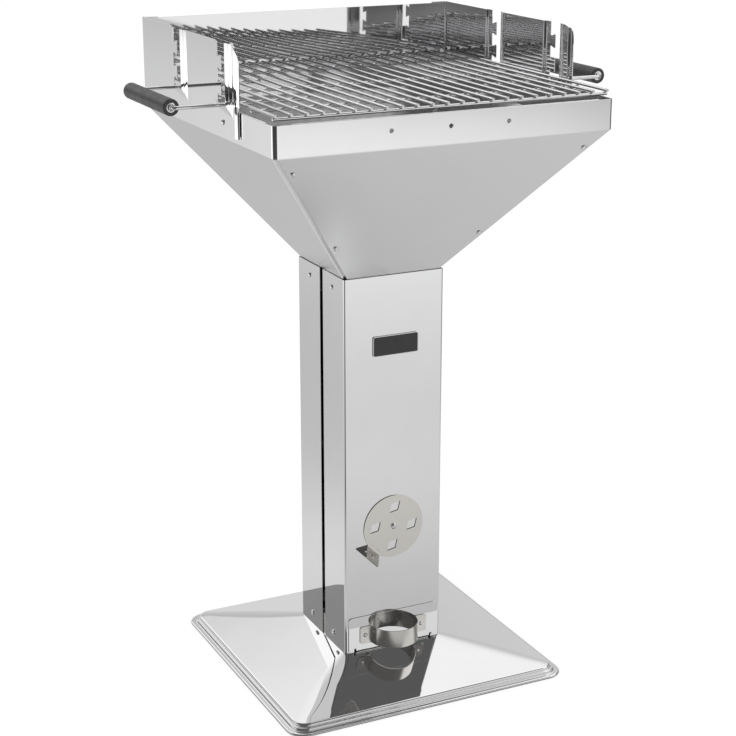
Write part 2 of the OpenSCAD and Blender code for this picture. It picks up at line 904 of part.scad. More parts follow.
// Ash drawer
module drawer_front_outline() {
    r = front_corner_r;
    translate([-drawer_front_w / 2, 0]) square([drawer_front_w, drawer_front_h - r]);
    translate([-drawer_front_w / 2 + r, 0]) square([drawer_front_w - 2 * r, drawer_front_h]);
    for (s = [-1, 1]) translate([s * (drawer_front_w / 2 - r), drawer_front_h - r]) circle(r = r);
}

module drawer_rivet_places() {
    for (s = [-1, 1])
        translate([s * drawer_rivet_x, front_y - front_sheet - strap_sheet, strap_mid_z])
            rotate([90, 0, 0]) children();
}

module drawer_rivet_holes() {
    drawer_rivet_places() translate([0, 0, -4 * sheet - over])
        cylinder(r = rivet_hole_r, h = 4 * sheet + 2 * over);
}

module ash_pan() {
    color("silver")
    difference() {
        translate([-pan_w / 2, front_y, stand_h + pan_gap]) cube([pan_w, pan_d, pan_h]);
        translate([-pan_w / 2 + sheet, front_y + sheet, stand_h + pan_gap + sheet])
            cube([pan_w - 2 * sheet, pan_d - 2 * sheet, pan_h]);
        drawer_rivet_holes();
    }
}

module drawer_front() {
    color("silver")
    difference() {
        translate([0, front_y, stand_h + front_lift]) upright(front_sheet) drawer_front_outline();
        drawer_rivet_holes();
    }
}

module strap_tab_outline() {
    inner = ring_r - strap_sheet;
    outer = ring_r + strap_tab_w;
    half = strap_h / 2;
    polygon([
        [inner, -half], [outer - strap_tab_clip, -half], [outer, -half + strap_tab_clip],
        [outer, half - strap_tab_clip], [outer - strap_tab_clip, half], [inner, half]
    ]);
}

module drawer_handle() {
    color("darkgray")
    difference() {
        translate([0, front_y - front_sheet, strap_mid_z]) {
            translate([0, 0, -strap_h / 2]) rotate([0, 0, 180]) rotate_extrude(angle = 180)
                translate([ring_r - strap_sheet, 0]) square([strap_sheet, strap_h]);
            for (m = [0, 1]) mirror([m, 0, 0]) upright(strap_sheet) strap_tab_outline();
        }
        drawer_rivet_holes();
    }
}

module drawer_rivets() {
    color("lightgray") drawer_rivet_places() pop_rivet(strap_sheet + front_sheet + sheet);
}

// Damper: drawn flat with its outer side up, then stood up against the column

module on_damper_axis(y) {
    translate([0, y, damper_z]) rotate([90, 0, 0]) children();
}

// Section of the tab, bent out of the plane of the disc
module tab_section() {
    bend_run = damper_sheet * tan(tab_bend / 2);
    tip = [tab_fold + bend_run + tab_len * cos(tab_bend), tab_len * sin(tab_bend)];
    polygon([
        [tab_fold - tab_root, 0], [tab_fold + bend_run, 0], tip,
        [tip[0] - damper_sheet * sin(tab_bend), tip[1] + damper_sheet * cos(tab_bend)],
        [tab_fold, damper_sheet], [tab_fold - tab_root, damper_sheet]
    ]);
}

module damper_tab() {
    difference() {
        translate([0, tab_w / 2, 0]) rotate([90, 0, 0]) linear_extrude(tab_w) tab_section();
        translate([tab_fold, 0, 0]) rotate([0, -tab_bend, 0])
            translate([tab_len / 2, 0, -damper_sheet]) cylinder(r = tab_hole_r, h = 3 * damper_sheet);
    }
}

module damper_flat() {
    linear_extrude(damper_sheet) difference() {
        circle(r = damper_dia / 2);
        rotate(tab_side) translate([tab_fold - tab_relief, -tab_w]) square([tab_len, 2 * tab_w]);
        circle(r = damper_pivot_r);
        air_holes(air_hole_turn);
    }
    rotate([0, 0, tab_side]) damper_tab();
}

module damper_disc() { color("darkgray") on_damper_axis(damper_y) damper_flat(); }

module damper_washer() {
    color("lightgray")
    on_damper_axis(damper_y - damper_sheet - washer_gap) difference() {
        cylinder(r = washer_r, h = washer_h);
        translate([0, 0, -over]) cylinder(r = damper_pivot_r, h = washer_h + 2 * over);
    }
}

module damper_screw() {
    seat = damper_y - damper_sheet - 2 * washer_gap - washer_h;
    shank = -seat - column_d / 2 + sheet + nut_h + screw_tail;
    color("lightgray")
    on_damper_axis(seat) difference() {
        union() {
            dome_head(pan_head_r, pan_head_h);
            translate([0, 0, -shank]) cylinder(r = screw_r, h = shank + pan_head_h / 2);
        }
        for (a = [0, 90]) rotate([0, 0, a])
            translate([-cross_l / 2, -cross_w / 2, pan_head_h - cross_depth])
                cube([cross_l, cross_w, cross_depth + over]);
    }
}

module damper_nut() {
    color("gray") on_damper_axis(-column_d / 2 + sheet + nut_h) hex_nut();
}

// Name plate, left bare
module name_plate() {
    color("black")
    translate([plate_x, -column_d / 2, plate_z]) upright(plate_sheet)
        rounded_rect(plate_w - 2 * plate_rim_w, plate_h - 2 * plate_rim_w, plate_corner_r - plate_rim_w);
}

module name_plate_rim() {
    color("silver")
    translate([plate_x, -column_d / 2, plate_z]) upright(plate_rim_h) difference() {
        rounded_rect(plate_w, plate_h, plate_corner_r);
        rounded_rect(plate_w - 2 * plate_rim_w, plate_h - 2 * plate_rim_w, plate_corner_r - plate_rim_w);
    }
}

foot();
foot_bracket_left();
foot_bracket_right();
bracket_rivets();
column_front();
column_rear();
column_base_bolts();
column_base_nuts();
column_top_bolts();
column_top_nuts();
funnel_front();
funnel_rear();
funnel_left();
funnel_right();
funnel_bolts();
funnel_nuts();
windshield_left();
windshield_right();
windshield_rear();
windshield_bolts();
windshield_nuts();
grate_bars();
grate_cross_rods();
handle_wire_left();
handle_wire_right();
grip_left();
grip_right();
grip_ferrules_left();
grip_ferrules_right();
charcoal_grate_frame();
charcoal_grate_bars();
ash_pan();
drawer_front();
drawer_handle();
drawer_rivets();
damper_disc();
damper_washer();
damper_screw();
damper_nut();
name_plate();
name_plate_rim();
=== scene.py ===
"""Looks of a charcoal column grill in mirror-polished sheet steel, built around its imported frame.

Every length is in metres in the frame's own axes: +Z up, the front faces -Y, +X to the right from the front.
"""

import json
import logging
import math
import random
from dataclasses import dataclass
from enum import Enum
from functools import reduce
from typing import Callable, Sequence

import bmesh
import bpy
from mathutils import Matrix, Vector

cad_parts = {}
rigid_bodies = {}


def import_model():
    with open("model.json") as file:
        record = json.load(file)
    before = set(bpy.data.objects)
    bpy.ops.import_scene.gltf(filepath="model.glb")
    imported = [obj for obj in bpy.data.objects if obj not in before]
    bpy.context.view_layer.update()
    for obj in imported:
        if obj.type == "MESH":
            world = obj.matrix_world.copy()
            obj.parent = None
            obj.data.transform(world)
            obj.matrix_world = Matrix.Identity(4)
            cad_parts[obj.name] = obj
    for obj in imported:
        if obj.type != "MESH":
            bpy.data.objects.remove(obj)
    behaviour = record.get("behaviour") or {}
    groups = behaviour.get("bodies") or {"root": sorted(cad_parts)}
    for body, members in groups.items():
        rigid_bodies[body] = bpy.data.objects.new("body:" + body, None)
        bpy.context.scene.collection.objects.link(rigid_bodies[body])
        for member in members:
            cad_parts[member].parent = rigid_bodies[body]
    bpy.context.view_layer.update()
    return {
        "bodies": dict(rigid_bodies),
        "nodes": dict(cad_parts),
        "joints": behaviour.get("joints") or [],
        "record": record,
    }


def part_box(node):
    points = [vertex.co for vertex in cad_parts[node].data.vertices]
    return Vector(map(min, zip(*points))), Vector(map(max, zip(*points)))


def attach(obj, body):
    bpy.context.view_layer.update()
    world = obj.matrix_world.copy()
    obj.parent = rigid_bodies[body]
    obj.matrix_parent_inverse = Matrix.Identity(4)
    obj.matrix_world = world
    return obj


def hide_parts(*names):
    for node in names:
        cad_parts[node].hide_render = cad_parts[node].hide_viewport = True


LOG = logging.getLogger("grill")
MM = 0.001
QUARTER = math.pi / 2
Mesh = bmesh.types.BMesh
Vert = bmesh.types.BMVert
Socket = bpy.types.NodeSocket
Outputs = bpy.types.NodeOutputs
Node = bpy.types.Node
Object = bpy.types.Object
Point2 = tuple[float, float]
Point3 = tuple[float, float, float]
Line = Sequence[Point2]
Grid = list[list[Vector]]


def mm(value: float) -> float:
    """Turns millimetres into metres."""
    return value * MM


def mm_line(*points: Point2) -> list[Point2]:
    """Turns the points of a line from millimetres into metres."""
    return [(mm(x), mm(y)) for x, y in points]


CUT_EDGE = mm(0.01)
WELD_REACH = mm(0.001)
BEVEL_FROM = math.radians(50)
ROUND_DEG = 50.0
LEAST_LEAN = 0.5  # Least cosine at a corner, so that a sharp one isn't lengthened too far
# For each corner of a box: the signs of its arc's centre, and where its arc starts in degrees
BOX_TURNS = ((1, 1, 0), (-1, 1, 90), (-1, -1, 180), (1, -1, 270))

# Small shapes in two dimensions


def filleted(points: Line, radii: Sequence[float], steps: int = 6) -> list[Point2]:
    """Rounds the inner corners of an open line.

    Args:
        points: The corners of the line, ends included.
        radii: One radius for each inner corner.
        steps: Pieces of each round stretch.

    Returns:
        The points of the rounded line.
    """
    out = [points[0]]
    for before, corner, after, radius in zip(points, points[1:], points[2:], radii):
        a = (Vector(before) - Vector(corner)).normalized()
        b = (Vector(after) - Vector(corner)).normalized()
        half = a.angle(b) / 2
        reach = radius / math.tan(half)
        centre = Vector(corner) + (a + b).normalized() * (radius / math.sin(half))
        start = Vector(corner) + a * reach - centre
        end = Vector(corner) + b * reach - centre
        turn = start.angle_signed(end)
        for step in range(steps + 1):
            spun = Matrix.Rotation(-turn * step / steps, 2) @ start
            out.append((centre.x + spun.x, centre.y + spun.y))
    out.append(points[-1])
    return out


def shifted(path: Line, distance: float) -> list[Point2]:
    """Moves an open line sideways, lengthened at its corners to keep the width.

    Args:
        path: The points of the line.
        distance: How far it moves, to the left for a positive one.

    Returns:
        The points of the moved line.
    """
    sides = [(Vector(b) - Vector(a)).normalized().orthogonal() for a, b in zip(path, path[1:])]
    out = []
    for (x, y), a, b in zip(path, [sides[0], *sides], [*sides, sides[-1]]):
        mean = (a + b).normalized()
        n = mean / max(mean.dot(a), LEAST_LEAN)
        out.append((x + n.x * distance, y + n.y * distance))
    return out


def arc(centre: Point2, radius: float, start_deg: float, end_deg: float, steps: int) -> list[Point2]:
    """Gives the points of an arc, both ends included."""
    turns = map(math.radians, even(start_deg, end_deg, steps + 1))
    return [(centre[0] + radius * math.cos(a), centre[1] + radius * math.sin(a)) for a in turns]


def round_box(half_w: float, half_d: float, radius: float, steps: int = 8) -> list[Point2]:
    """Gives the closed outline of a rectangle with round corners, anticlockwise."""
    x, y = half_w - radius, half_d - radius
    return [p for i, j, turn in BOX_TURNS for p in arc((i * x, j * y), radius, turn, turn + 90, steps)]


def round_top(half: float, top: float, radius: float) -> list[Point2]:
    """Gives the two rounded upper corners of an upright outline, from right to left."""
    right = arc((half - radius, top - radius), radius, 0, 90, 6)
    return right + arc((-half + radius, top - radius), radius, 90, 180, 6)


def round_end(reach: float, ahead: float, clip: float) -> float:
    """Gives how far a strip reaches sideways near its end, whose corner is rounded.

    Args:
        reach: Its reach away from the end.
        ahead: Distance from the end.
        clip: Radius of the corner.

    Returns:
        The reach at that distance.
    """
    if ahead >= clip:
        return reach
    return reach - clip + math.sqrt(max(clip**2 - (clip - ahead) ** 2, 0.0))


def clamped(share: float) -> float:
    """Holds a share between 0 and 1."""
    return min(max(share, 0.0), 1.0)


def even(first: float, last: float, count: int) -> list[float]:
    """Gives evenly spaced values, both ends included."""
    return [first + (last - first) * i / (count - 1) for i in range(count)]


def between(line: Line, at: float, swell: float = 1.0) -> float:
    """Reads a broken line at a place, held at its ends.

    Args:
        line: The line's corners.
        at: The place.
        swell: Above 1, rising stretches bulge.

    Returns:
        The line's height there.
    """
    for (x0, y0), (x1, y1) in zip(line, line[1:]):
        if at <= x1:
            share = max(at - x0, 0.0) / (x1 - x0)
            if y1 > y0:
                share = 1 - (1 - share) ** swell
            return y0 + (y1 - y0) * share
    return line[-1][1]


# Mesh building


def made(add: Callable[..., object], *shape: object, **options: object) -> Mesh:
    """Starts a mesh with one shape in it.

    Args:
        add: The function that adds the shape.
        *shape: What it is given after the mesh.
        **options: Its named values.

    Returns:
        The new mesh.
    """
    bm = bmesh.new()
    add(bm, *shape, **options)
    return bm


def skin(bm: Mesh, rows: Sequence[Sequence[Vert]], ring: bool = True, flip: bool = False) -> None:
    """Joins each row of vertices to the next one with quads.

    Args:
        bm: The mesh to add to.
        rows: Rows of vertices, all of one length.
        ring: Whether each row closes on itself.
        flip: Whether to turn the faces over.
    """
    count = len(rows[0])
    for low, high in zip(rows, rows[1:]):
        for j in range(count if ring else count - 1):
            k = (j + 1) % count
            quad = (low[j], low[k], high[k], high[j])
            bm.faces.new(quad[::-1] if flip else quad)


def add_grid(bm: Mesh, rows: Grid, ring: bool = False, flip: bool = False) -> list[list[Vert]]:
    """Adds a grid of quads.

    Args:
        bm: The mesh to add to.
        rows: Rows of points, all of one length.
        ring: Whether each row closes on itself.
        flip: Whether to turn the faces over.

    Returns:
        The rows of new vertices.
    """
    verts = [[bm.verts.new(p) for p in row] for row in rows]
    skin(bm, verts, ring, flip)
    return verts


def add_sheet(bm: Mesh, outer: Grid, inner: Grid, ring: bool = False) -> None:
    """Adds a closed sheet between two grids of one size, with its edges.

    Args:
        bm: The mesh to add to.
        outer: Rows of points of the outer surface.
        inner: Rows of points of the inner surface.
        ring: Whether each row closes on itself.
    """
    a = add_grid(bm, outer, ring)
    b = add_grid(bm, inner, ring, flip=True)
    skin(bm, [a[0], b[0]], ring)
    skin(bm, [a[-1], b[-1]], ring, flip=True)
    if not ring:
        for low_a, high_a, low_b, high_b in zip(a, a[1:], b, b[1:]):
            bm.faces.new((low_a[0], high_a[0], high_b[0], low_b[0]))
            bm.faces.new((low_a[-1], low_b[-1], high_b[-1], high_a[-1]))


def weld(bm: Mesh) -> None:
    """Joins sheets that share an edge and deletes the faces left between them.

    Args:
        bm: The mesh to mend.
    """
    bmesh.ops.remove_doubles(bm, verts=bm.verts, dist=WELD_REACH)
    inside = [face for face in bm.faces if all(len(edge.link_faces) > 2 for edge in face.edges)]
    bmesh.ops.delete(bm, geom=inside, context="FACES_ONLY")


def add_lathe(bm: Mesh, profile: Line, place: Matrix, sides: int = 32, closed: bool = False) -> None:
    """Turns a profile round the local Z axis.

    Args:
        bm: The mesh to add to.
        profile: Points of radius and height. A radius of zero makes a pole.
        place: Where the turned shape goes.
        sides: Pieces of the full turn.
        closed: Whether the profile's last point joins its first, as on a ring.
    """
    angles = [2 * math.pi * i / sides for i in range(sides)]
    rings = []
    for radius, height in profile:
        spots = [(radius * math.cos(a), radius * math.sin(a)) for a in angles] if radius > 0 else [(0, 0)]
        rings.append([bm.verts.new(place @ Vector((x, y, height))) for x, y in spots])
    pairs = list(zip(rings, rings[1:])) + ([(rings[-1], rings[0])] if closed else [])
    for low, high in pairs:
        for i in range(sides):
            quad = ((low, i), (low, i + 1), (high, i + 1), (high, i))
            corners = dict.fromkeys(ring[j % len(ring)] for ring, j in quad)
            if len(corners) > 2:
                bm.faces.new(corners)


def ring_round(bm: Mesh, centre: Vector, u: Vector, v: Vector, radius: float, sides: int) -> list[Vert]:
    """Adds the vertices of a ring in the plane of two directions, and returns them."""
    angles = (2 * math.pi * i / sides for i in range(sides))
    return [bm.verts.new(centre + (u * math.cos(a) + v * math.sin(a)) * radius) for a in angles]


def add_wire(
    bm: Mesh, path: Sequence[Vector], radius: float, sides: int = 16, chamfer: float = mm(0.4)
) -> None:
    """Adds a round wire along an open path, with cut and slightly rounded ends.

    Args:
        bm: The mesh to add to.
        path: The wire's centre line.
        radius: The wire's radius.
        sides: Sides of its section.
        chamfer: Rounding of its cut ends.
    """
    points = [Vector(p) for p in path]
    last = len(points) - 1
    tangents = [(points[min(i + 1, last)] - points[max(i - 1, 0)]).normalized() for i in range(last + 1)]
    side = tangents[0].orthogonal().normalized()
    frames = []
    for tangent in tangents:
        side = (side - tangent * side.dot(tangent)).normalized()
        frames.append((side.copy(), tangent.cross(side)))
    ends = ((0.0, 0.62), (0.3, 0.88), (1.0, 1.0))
    stations = [(points[0] + tangents[0] * chamfer * share, 0, radius * wide) for share, wide in ends]
    stations += [(points[i], i, radius) for i in range(1, last)]
    stations += [
        (points[-1] - tangents[-1] * chamfer * share, last, radius * wide) for share, wide in reversed(ends)
    ]
    rings = [ring_round(bm, centre, *frames[i], r, sides) for centre, i, r in stations]
    skin(bm, rings)
    bm.faces.new(rings[0][::-1])
    bm.faces.new(rings[-1])


def add_bulge(bm: Mesh, at: Vector, size: Sequence[float]) -> None:
    """Adds the small bulge of a resistance weld between two crossing wires."""
    place = Matrix.Translation(at) @ Matrix.Diagonal((*size, 1.0))
    bmesh.ops.create_uvsphere(bm, u_segments=10, v_segments=6, radius=1.0, matrix=place)


def add_outline(
    bm: Mesh, outlines: Sequence[Line], thick: float, place: Matrix, edge: float = mm(0.25)
) -> None:
    """Adds a flat sheet cut to an outline with holes, its edges slightly rounded.

    Args:
        bm: The mesh to add to.
        outlines: The outer outline, then any holes.
        thick: The sheet's thickness along local Z, from zero upward.
        place: Where the sheet goes.
        edge: Rounding of the edges.
    """
    curve = bpy.data.curves.new("outline", "CURVE")
    curve.dimensions = "2D"
    curve.fill_mode = "BOTH"
    curve.extrude = thick / 2 - edge
    curve.bevel_depth = edge
    curve.bevel_resolution = 1
    curve.offset = -edge
    for outline in outlines:
        spline = curve.splines.new("POLY")
        spline.points.add(len(outline) - 1)
        spline.use_cyclic_u = True
        for point, (x, y) in zip(spline.points, outline):
            point.co = (x, y, 0, 1)
    holder = bpy.data.objects.new("outline", curve)
    bpy.context.scene.collection.objects.link(holder)
    bpy.context.view_layer.update()
    mesh = bpy.data.meshes.new_from_object(holder.evaluated_get(bpy.context.evaluated_depsgraph_get()))
    mesh.transform(place @ Matrix.Translation((0, 0, thick / 2)))
    bm.from_mesh(mesh)
    bpy.data.objects.remove(holder)
    bpy.data.curves.remove(curve)
    bpy.data.meshes.remove(mesh)


def both_faces(sheet: float) -> Point2:
    """Gives the distances of a sheet's two faces from its middle."""
    return sheet / 2, -sheet / 2


def upright_at(x: float, y: float, z: float) -> Matrix:
    """Stands local XY up to face the front: local Y becomes +Z and local Z points to -Y."""
    return Matrix.Translation((x, y, z)) @ Matrix.Rotation(math.radians(90), 4, "X")


def along(direction: Vector, at: Vector) -> Matrix:
    """Places local +Z along a direction at a point."""
    return Matrix.Translation(at) @ direction.to_track_quat("Z", "Y").to_matrix().to_4x4()


def facing_front(x: float, y: float, z: float) -> Matrix:
    """Places local +Z toward the front at a point."""
    return along(Vector((0, -1, 0)), Vector((x, y, z)))


# Shader node groups


class Nodes:
    """Short calls for building one node tree."""

    def __init__(self, tree: bpy.types.NodeTree) -> None:
        """Keeps the tree that nodes go into."""
        self.tree = tree

    def add(self, kind: str, **values: object) -> Node:
        """Adds a node.

        Args:
            kind: The node's type name.
            **values: Its own properties.

        Returns:
            The new node.
        """
        node = self.tree.nodes.new(kind)
        for name, value in values.items():
            setattr(node, name, value)
        return node

    def value_or_link(self, source: object, target: Socket) -> None:
        """Sets a socket from a plain value, or joins it to another socket.

        Args:
            source: The value or the socket.
            target: The socket to fill.
        """
        if isinstance(source, bpy.types.NodeSocket):
            self.tree.links.new(source, target)
        else:
            target.default_value = source

    def fill(self, node: Node, **values: object) -> Outputs:
        """Sets or joins a node's sockets by name.

        Args:
            node: The node.
            **values: A value or a socket for each, named with underscores for spaces.

        Returns:
            The node's outputs.
        """
        for name, value in values.items():
            self.value_or_link(value, node.inputs[name.replace("_", " ")])
        return node.outputs

    def ordered(self, node: Node, inputs: Sequence[object]) -> Outputs:
        """Sets or joins a node's first sockets in order.

        Args:
            node: The node.
            inputs: A value or a socket for each.

        Returns:
            The node's outputs.
        """
        for socket, source in zip(node.inputs, inputs):
            self.value_or_link(source, socket)
        return node.outputs

    def math(self, operation: str, *inputs: object) -> Socket:
        """Adds a Math node over sockets or numbers and returns its result."""
        return self.ordered(self.add("ShaderNodeMath", operation=operation), inputs)[0]

    def times(self, *factors: object) -> Socket:
        """Multiplies sockets or numbers in order."""
        return reduce(lambda product, factor: self.math("MULTIPLY", product, factor), factors)

    def vector(self, operation: str, *inputs: object) -> Outputs:
        """Adds a Vector Math node over sockets or vectors and returns its outputs."""
        return self.ordered(self.add("ShaderNodeVectorMath", operation=operation), inputs)

    def split(self, vector: Socket) -> Outputs:
        """Takes coordinates apart and returns the outputs X, Y and Z."""
        return self.ordered(self.add("ShaderNodeSeparateXYZ"), (vector,))

    def noise(self, vector: object, scale: object, detail: float = 2.0, rough: float = 0.5) -> Socket:
        """Adds a Noise texture and returns its value."""
        node = self.add("ShaderNodeTexNoise")
        return self.fill(node, Vector=vector, Scale=scale, Detail=detail, Roughness=rough)["Fac"]

    def span(self, value: object, source: Point2, target: Point2 = (0.0, 1.0)) -> Socket:
        """Maps a value from one range to another, held at its ends."""
        ends = dict(zip(("From_Min", "From_Max", "To_Min", "To_Max"), (*source, *target)))
        return self.fill(self.add("ShaderNodeMapRange"), Value=value, **ends)["Result"]

    def blend(self, mask: object, first: object, second: object, kind: str = "RGBA") -> Socket:
        """Mixes two colours, or two numbers with the kind FLOAT, by a mask."""
        node = self.add("ShaderNodeMix", data_type=kind)
        return self.fill(node, Factor=mask, A=first, B=second)["Result"]

    def bump(self, height: Socket, distance: float) -> Socket:
        """Adds a Bump node over a height and returns its normal."""
        return self.fill(self.add("ShaderNodeBump"), Height=height, Distance=distance, Strength=1.0)["Normal"]


class Effect:
    """A shader node group, built once and placed in each material that uses it."""

    name = "effect"
    inputs: dict[str, object] = {}
    outputs = ("Roughness", "Height", "Mask")

    @classmethod
    def tree(cls) -> bpy.types.NodeTree:
        """Builds the group on first use.

        Returns:
            The group.
        """
        found = bpy.data.node_groups.get(cls.name)
        if found:
            return found
        tree = bpy.data.node_groups.new(cls.name, "ShaderNodeTree")
        for name, default in cls.inputs.items():
            kind = "NodeSocketFloat" if isinstance(default, float) else "NodeSocketVector"
            tree.interface.new_socket(name, in_out="INPUT", socket_type=kind).default_value = default
        for name in cls.outputs:
            tree.interface.new_socket(name, in_out="OUTPUT", socket_type="NodeSocketFloat")
        nodes = Nodes(tree)
        cls.build(nodes, nodes.add("NodeGroupInput").outputs, nodes.add("NodeGroupOutput"))
        return tree

    @classmethod
    def build(cls, nodes: Nodes, given: Outputs, result: Node) -> None:
        """Fills the group between its inputs and its outputs."""
        raise NotImplementedError

    @classmethod
    def place(cls, nodes: Nodes, **values: object) -> Outputs:
        """Places the group in a material with its own values, and returns the group's outputs."""
        return nodes.fill(nodes.add("ShaderNodeGroup", node_tree=cls.tree()), **values)


class SheetFlow(Effect):
    """The faint waves of thin rolled sheet and the uneven shine of its polish."""

    name = "sheet_flow"
    inputs = {"Vector": (0.0, 0.0, 0.0), "Wave Scale": 5.0, "Roughness": 0.06, "Haze": 0.03}
    smear_scale = 14.0
    smear_detail = 5.0
    smear_rough = 0.62
    smear_from = (0.42, 0.68)
    streak_stretch = (30.0, 30.0, 900.0)
    streak_share = 0.25

    @classmethod
    def build(cls, nodes: Nodes, given: Outputs, result: Node) -> None:
        """Fills the group: slow waves for height, and smears with fine streaks for the roughness.

        Args:
            nodes: The group's nodes.
            given: The sockets of its inputs.
            result: The node of its outputs.
        """
        wave = nodes.noise(given["Vector"], given["Wave Scale"], detail=1.0)
        smear = nodes.noise(given["Vector"], cls.smear_scale, cls.smear_detail, cls.smear_rough)
        mapping = nodes.add("ShaderNodeMapping")
        streak = nodes.noise(nodes.fill(mapping, Vector=given["Vector"], Scale=cls.streak_stretch)[0], 1.0)
        mask = nodes.span(smear, cls.smear_from)
        fine = nodes.times(nodes.math("SUBTRACT", streak, 0.5), cls.streak_share)
        haze = nodes.times(nodes.math("ADD", mask, fine), given["Haze"])
        nodes.fill(result, Roughness=nodes.math("ADD", given["Roughness"], haze), Height=wave, Mask=mask)


class FineGrain(Effect):
    """The short streaks of a satin or drawn metal surface along one axis."""

    name = "fine_grain"
    inputs = {
        "Vector": (0.0, 0.0, 0.0), "Stretch": (40.0, 900.0, 900.0), "Roughness": 0.3, "Spread": 0.12
    }
    streak_detail = 4.0
    streak_rough = 0.65
    cloud_scale = 22.0
    cloud_detail = 3.0
    middle = (0.3, 0.7)
    cloud_share = (0.7, 1.2)

    @classmethod
    def build(cls, nodes: Nodes, given: Outputs, result: Node) -> None:
        """Fills the group: streaks stretched along one axis, broken by slow clouds.

        Args:
            nodes: The group's nodes.
            given: The sockets of its inputs.
            result: The node of its outputs.
        """
        scaled = nodes.vector("MULTIPLY", given["Vector"], given["Stretch"])[0]
        streak = nodes.noise(scaled, 1.0, cls.streak_detail, cls.streak_rough)
        cloud = nodes.noise(given["Vector"], cls.cloud_scale, cls.cloud_detail)
        mask = nodes.times(streak, nodes.span(cloud, cls.middle, cls.cloud_share))
        spread = nodes.times(nodes.math("SUBTRACT", mask, 0.5), given["Spread"])
        rough = nodes.math("ADD", given["Roughness"], spread)
        nodes.fill(result, Roughness=rough, Height=mask, Mask=nodes.span(mask, cls.middle))


# Finishes


@dataclass(frozen=True)
class Finish:
    """One finish: its name, the name of its slot and its plain values."""

    name: str
    slot: str
    colour: Point3
    shade: Point3
    roughness: float
    spread: float
    metallic: float = 1.0

    def material(self) -> bpy.types.Material:
        """Builds the finish as a material on first use.

        Returns:
            The material.
        """
        found = bpy.data.materials.get(self.name)
        if found:
            return found
        material = bpy.data.materials.new(self.name)
        material.use_nodes = True
        nodes = Nodes(material.node_tree)
        shader = material.node_tree.nodes["Principled BSDF"]
        shader.inputs["Metallic"].default_value = self.metallic
        self.dress(nodes, shader, nodes.add("ShaderNodeTexCoord").outputs["Object"])
        return material

    def dress(self, nodes: Nodes, shader: Node, where: Socket) -> None:
        """Joins the finish's texture to the shader's sockets."""
        raise NotImplementedError

    def tone(self, nodes: Nodes, mask: Socket) -> Socket:
        """Mixes the finish's two colours by a mask."""
        return nodes.blend(mask, (*self.colour, 1.0), (*self.shade, 1.0))


@dataclass(frozen=True)
class PolishedSheet(Finish):
    """Mirror-polished sheet steel, slightly wavy, with faint smears."""

    wave_scale: float = 4.0
    wave_depth: float = mm(0.5)

    def dress(self, nodes: Nodes, shader: Node, where: Socket) -> None:
        """Joins waves, smears and a slightly uneven tone.

        Args:
            nodes: The material's nodes.
            shader: Its shader.
            where: Places on the piece.
        """
        flow = SheetFlow.place(
            nodes, Vector=where, Wave_Scale=self.wave_scale, Roughness=self.roughness, Haze=self.spread
        )
        normal = nodes.bump(flow["Height"], self.wave_depth)
        tone = self.tone(nodes, flow["Mask"])
        nodes.fill(shader, Base_Color=tone, Roughness=flow["Roughness"], Normal=normal)


@dataclass(frozen=True)
class FoldedSheet(PolishedSheet):
    """Polished sheet that is hazier below a fold, where the press stretched it."""

    fold_z: float = 0.0
    haze_below: float = 0.1
    fade: float = mm(4)

    def dress(self, nodes: Nodes, shader: Node, where: Socket) -> None:
        """Adds the haze below the fold to the polish.

        Args:
            nodes: The material's nodes.
            shader: Its shader.
            where: Places on the piece.
        """
        super().dress(nodes, shader, where)
        band = (self.fold_z - self.fade, self.fold_z + self.fade)
        below = nodes.span(nodes.split(where)["Z"], band, (self.haze_below, 0.0))
        polish = shader.inputs["Roughness"].links[0].from_socket
        nodes.fill(shader, Roughness=nodes.math("ADD", polish, below))


@dataclass(frozen=True)
class SatinMetal(Finish):
    """Satin or drawn metal with short streaks."""

    streaks: Point3 = (40.0, 900.0, 900.0)
    depth: float = mm(0.01)

    def dress(self, nodes: Nodes, shader: Node, where: Socket) -> None:
        """Joins the streaks to tone, roughness and bump.

        Args:
            nodes: The material's nodes.
            shader: Its shader.
            where: Places on the piece.
        """
        grain = FineGrain.place(
            nodes, Vector=where, Stretch=self.streaks, Roughness=self.roughness, Spread=self.spread
        )
        normal = nodes.bump(grain["Height"], self.depth)
        tone = self.tone(nodes, grain["Mask"])
        nodes.fill(shader, Base_Color=tone, Roughness=grain["Roughness"], Normal=normal)


@dataclass(frozen=True)
class MouldedPlastic(Finish):
    """Moulded black plastic with a fine grain and a worn shine."""

    grain_scale: float = 1400.0
    grain_depth: float = mm(0.02)
    cloud_scale: float = 45.0
    cloud_detail: float = 4.0
    tone_from: Point2 = (0.35, 0.65)
    shine_from: Point2 = (0.3, 0.7)

    def dress(self, nodes: Nodes, shader: Node, where: Socket) -> None:
        """Joins a moulded grain to bump and slow clouds to tone and roughness.

        Args:
            nodes: The material's nodes.
            shader: Its shader.
            where: Places on the piece.
        """
        cloud = nodes.noise(where, self.cloud_scale, self.cloud_detail)
        tone = self.tone(nodes, nodes.span(cloud, self.tone_from))
        shine = (self.roughness - self.spread, self.roughness + self.spread)
        rough = nodes.span(cloud, self.shine_from, shine)
        grain = nodes.bump(nodes.noise(where, self.grain_scale), self.grain_depth)
        nodes.fill(shader, Base_Color=tone, Roughness=rough, Normal=grain)


STEEL = {
    "slot": "polished_sheet", "colour": (0.80, 0.80, 0.805), "shade": (0.785, 0.785, 0.79), "spread": 0.02
}


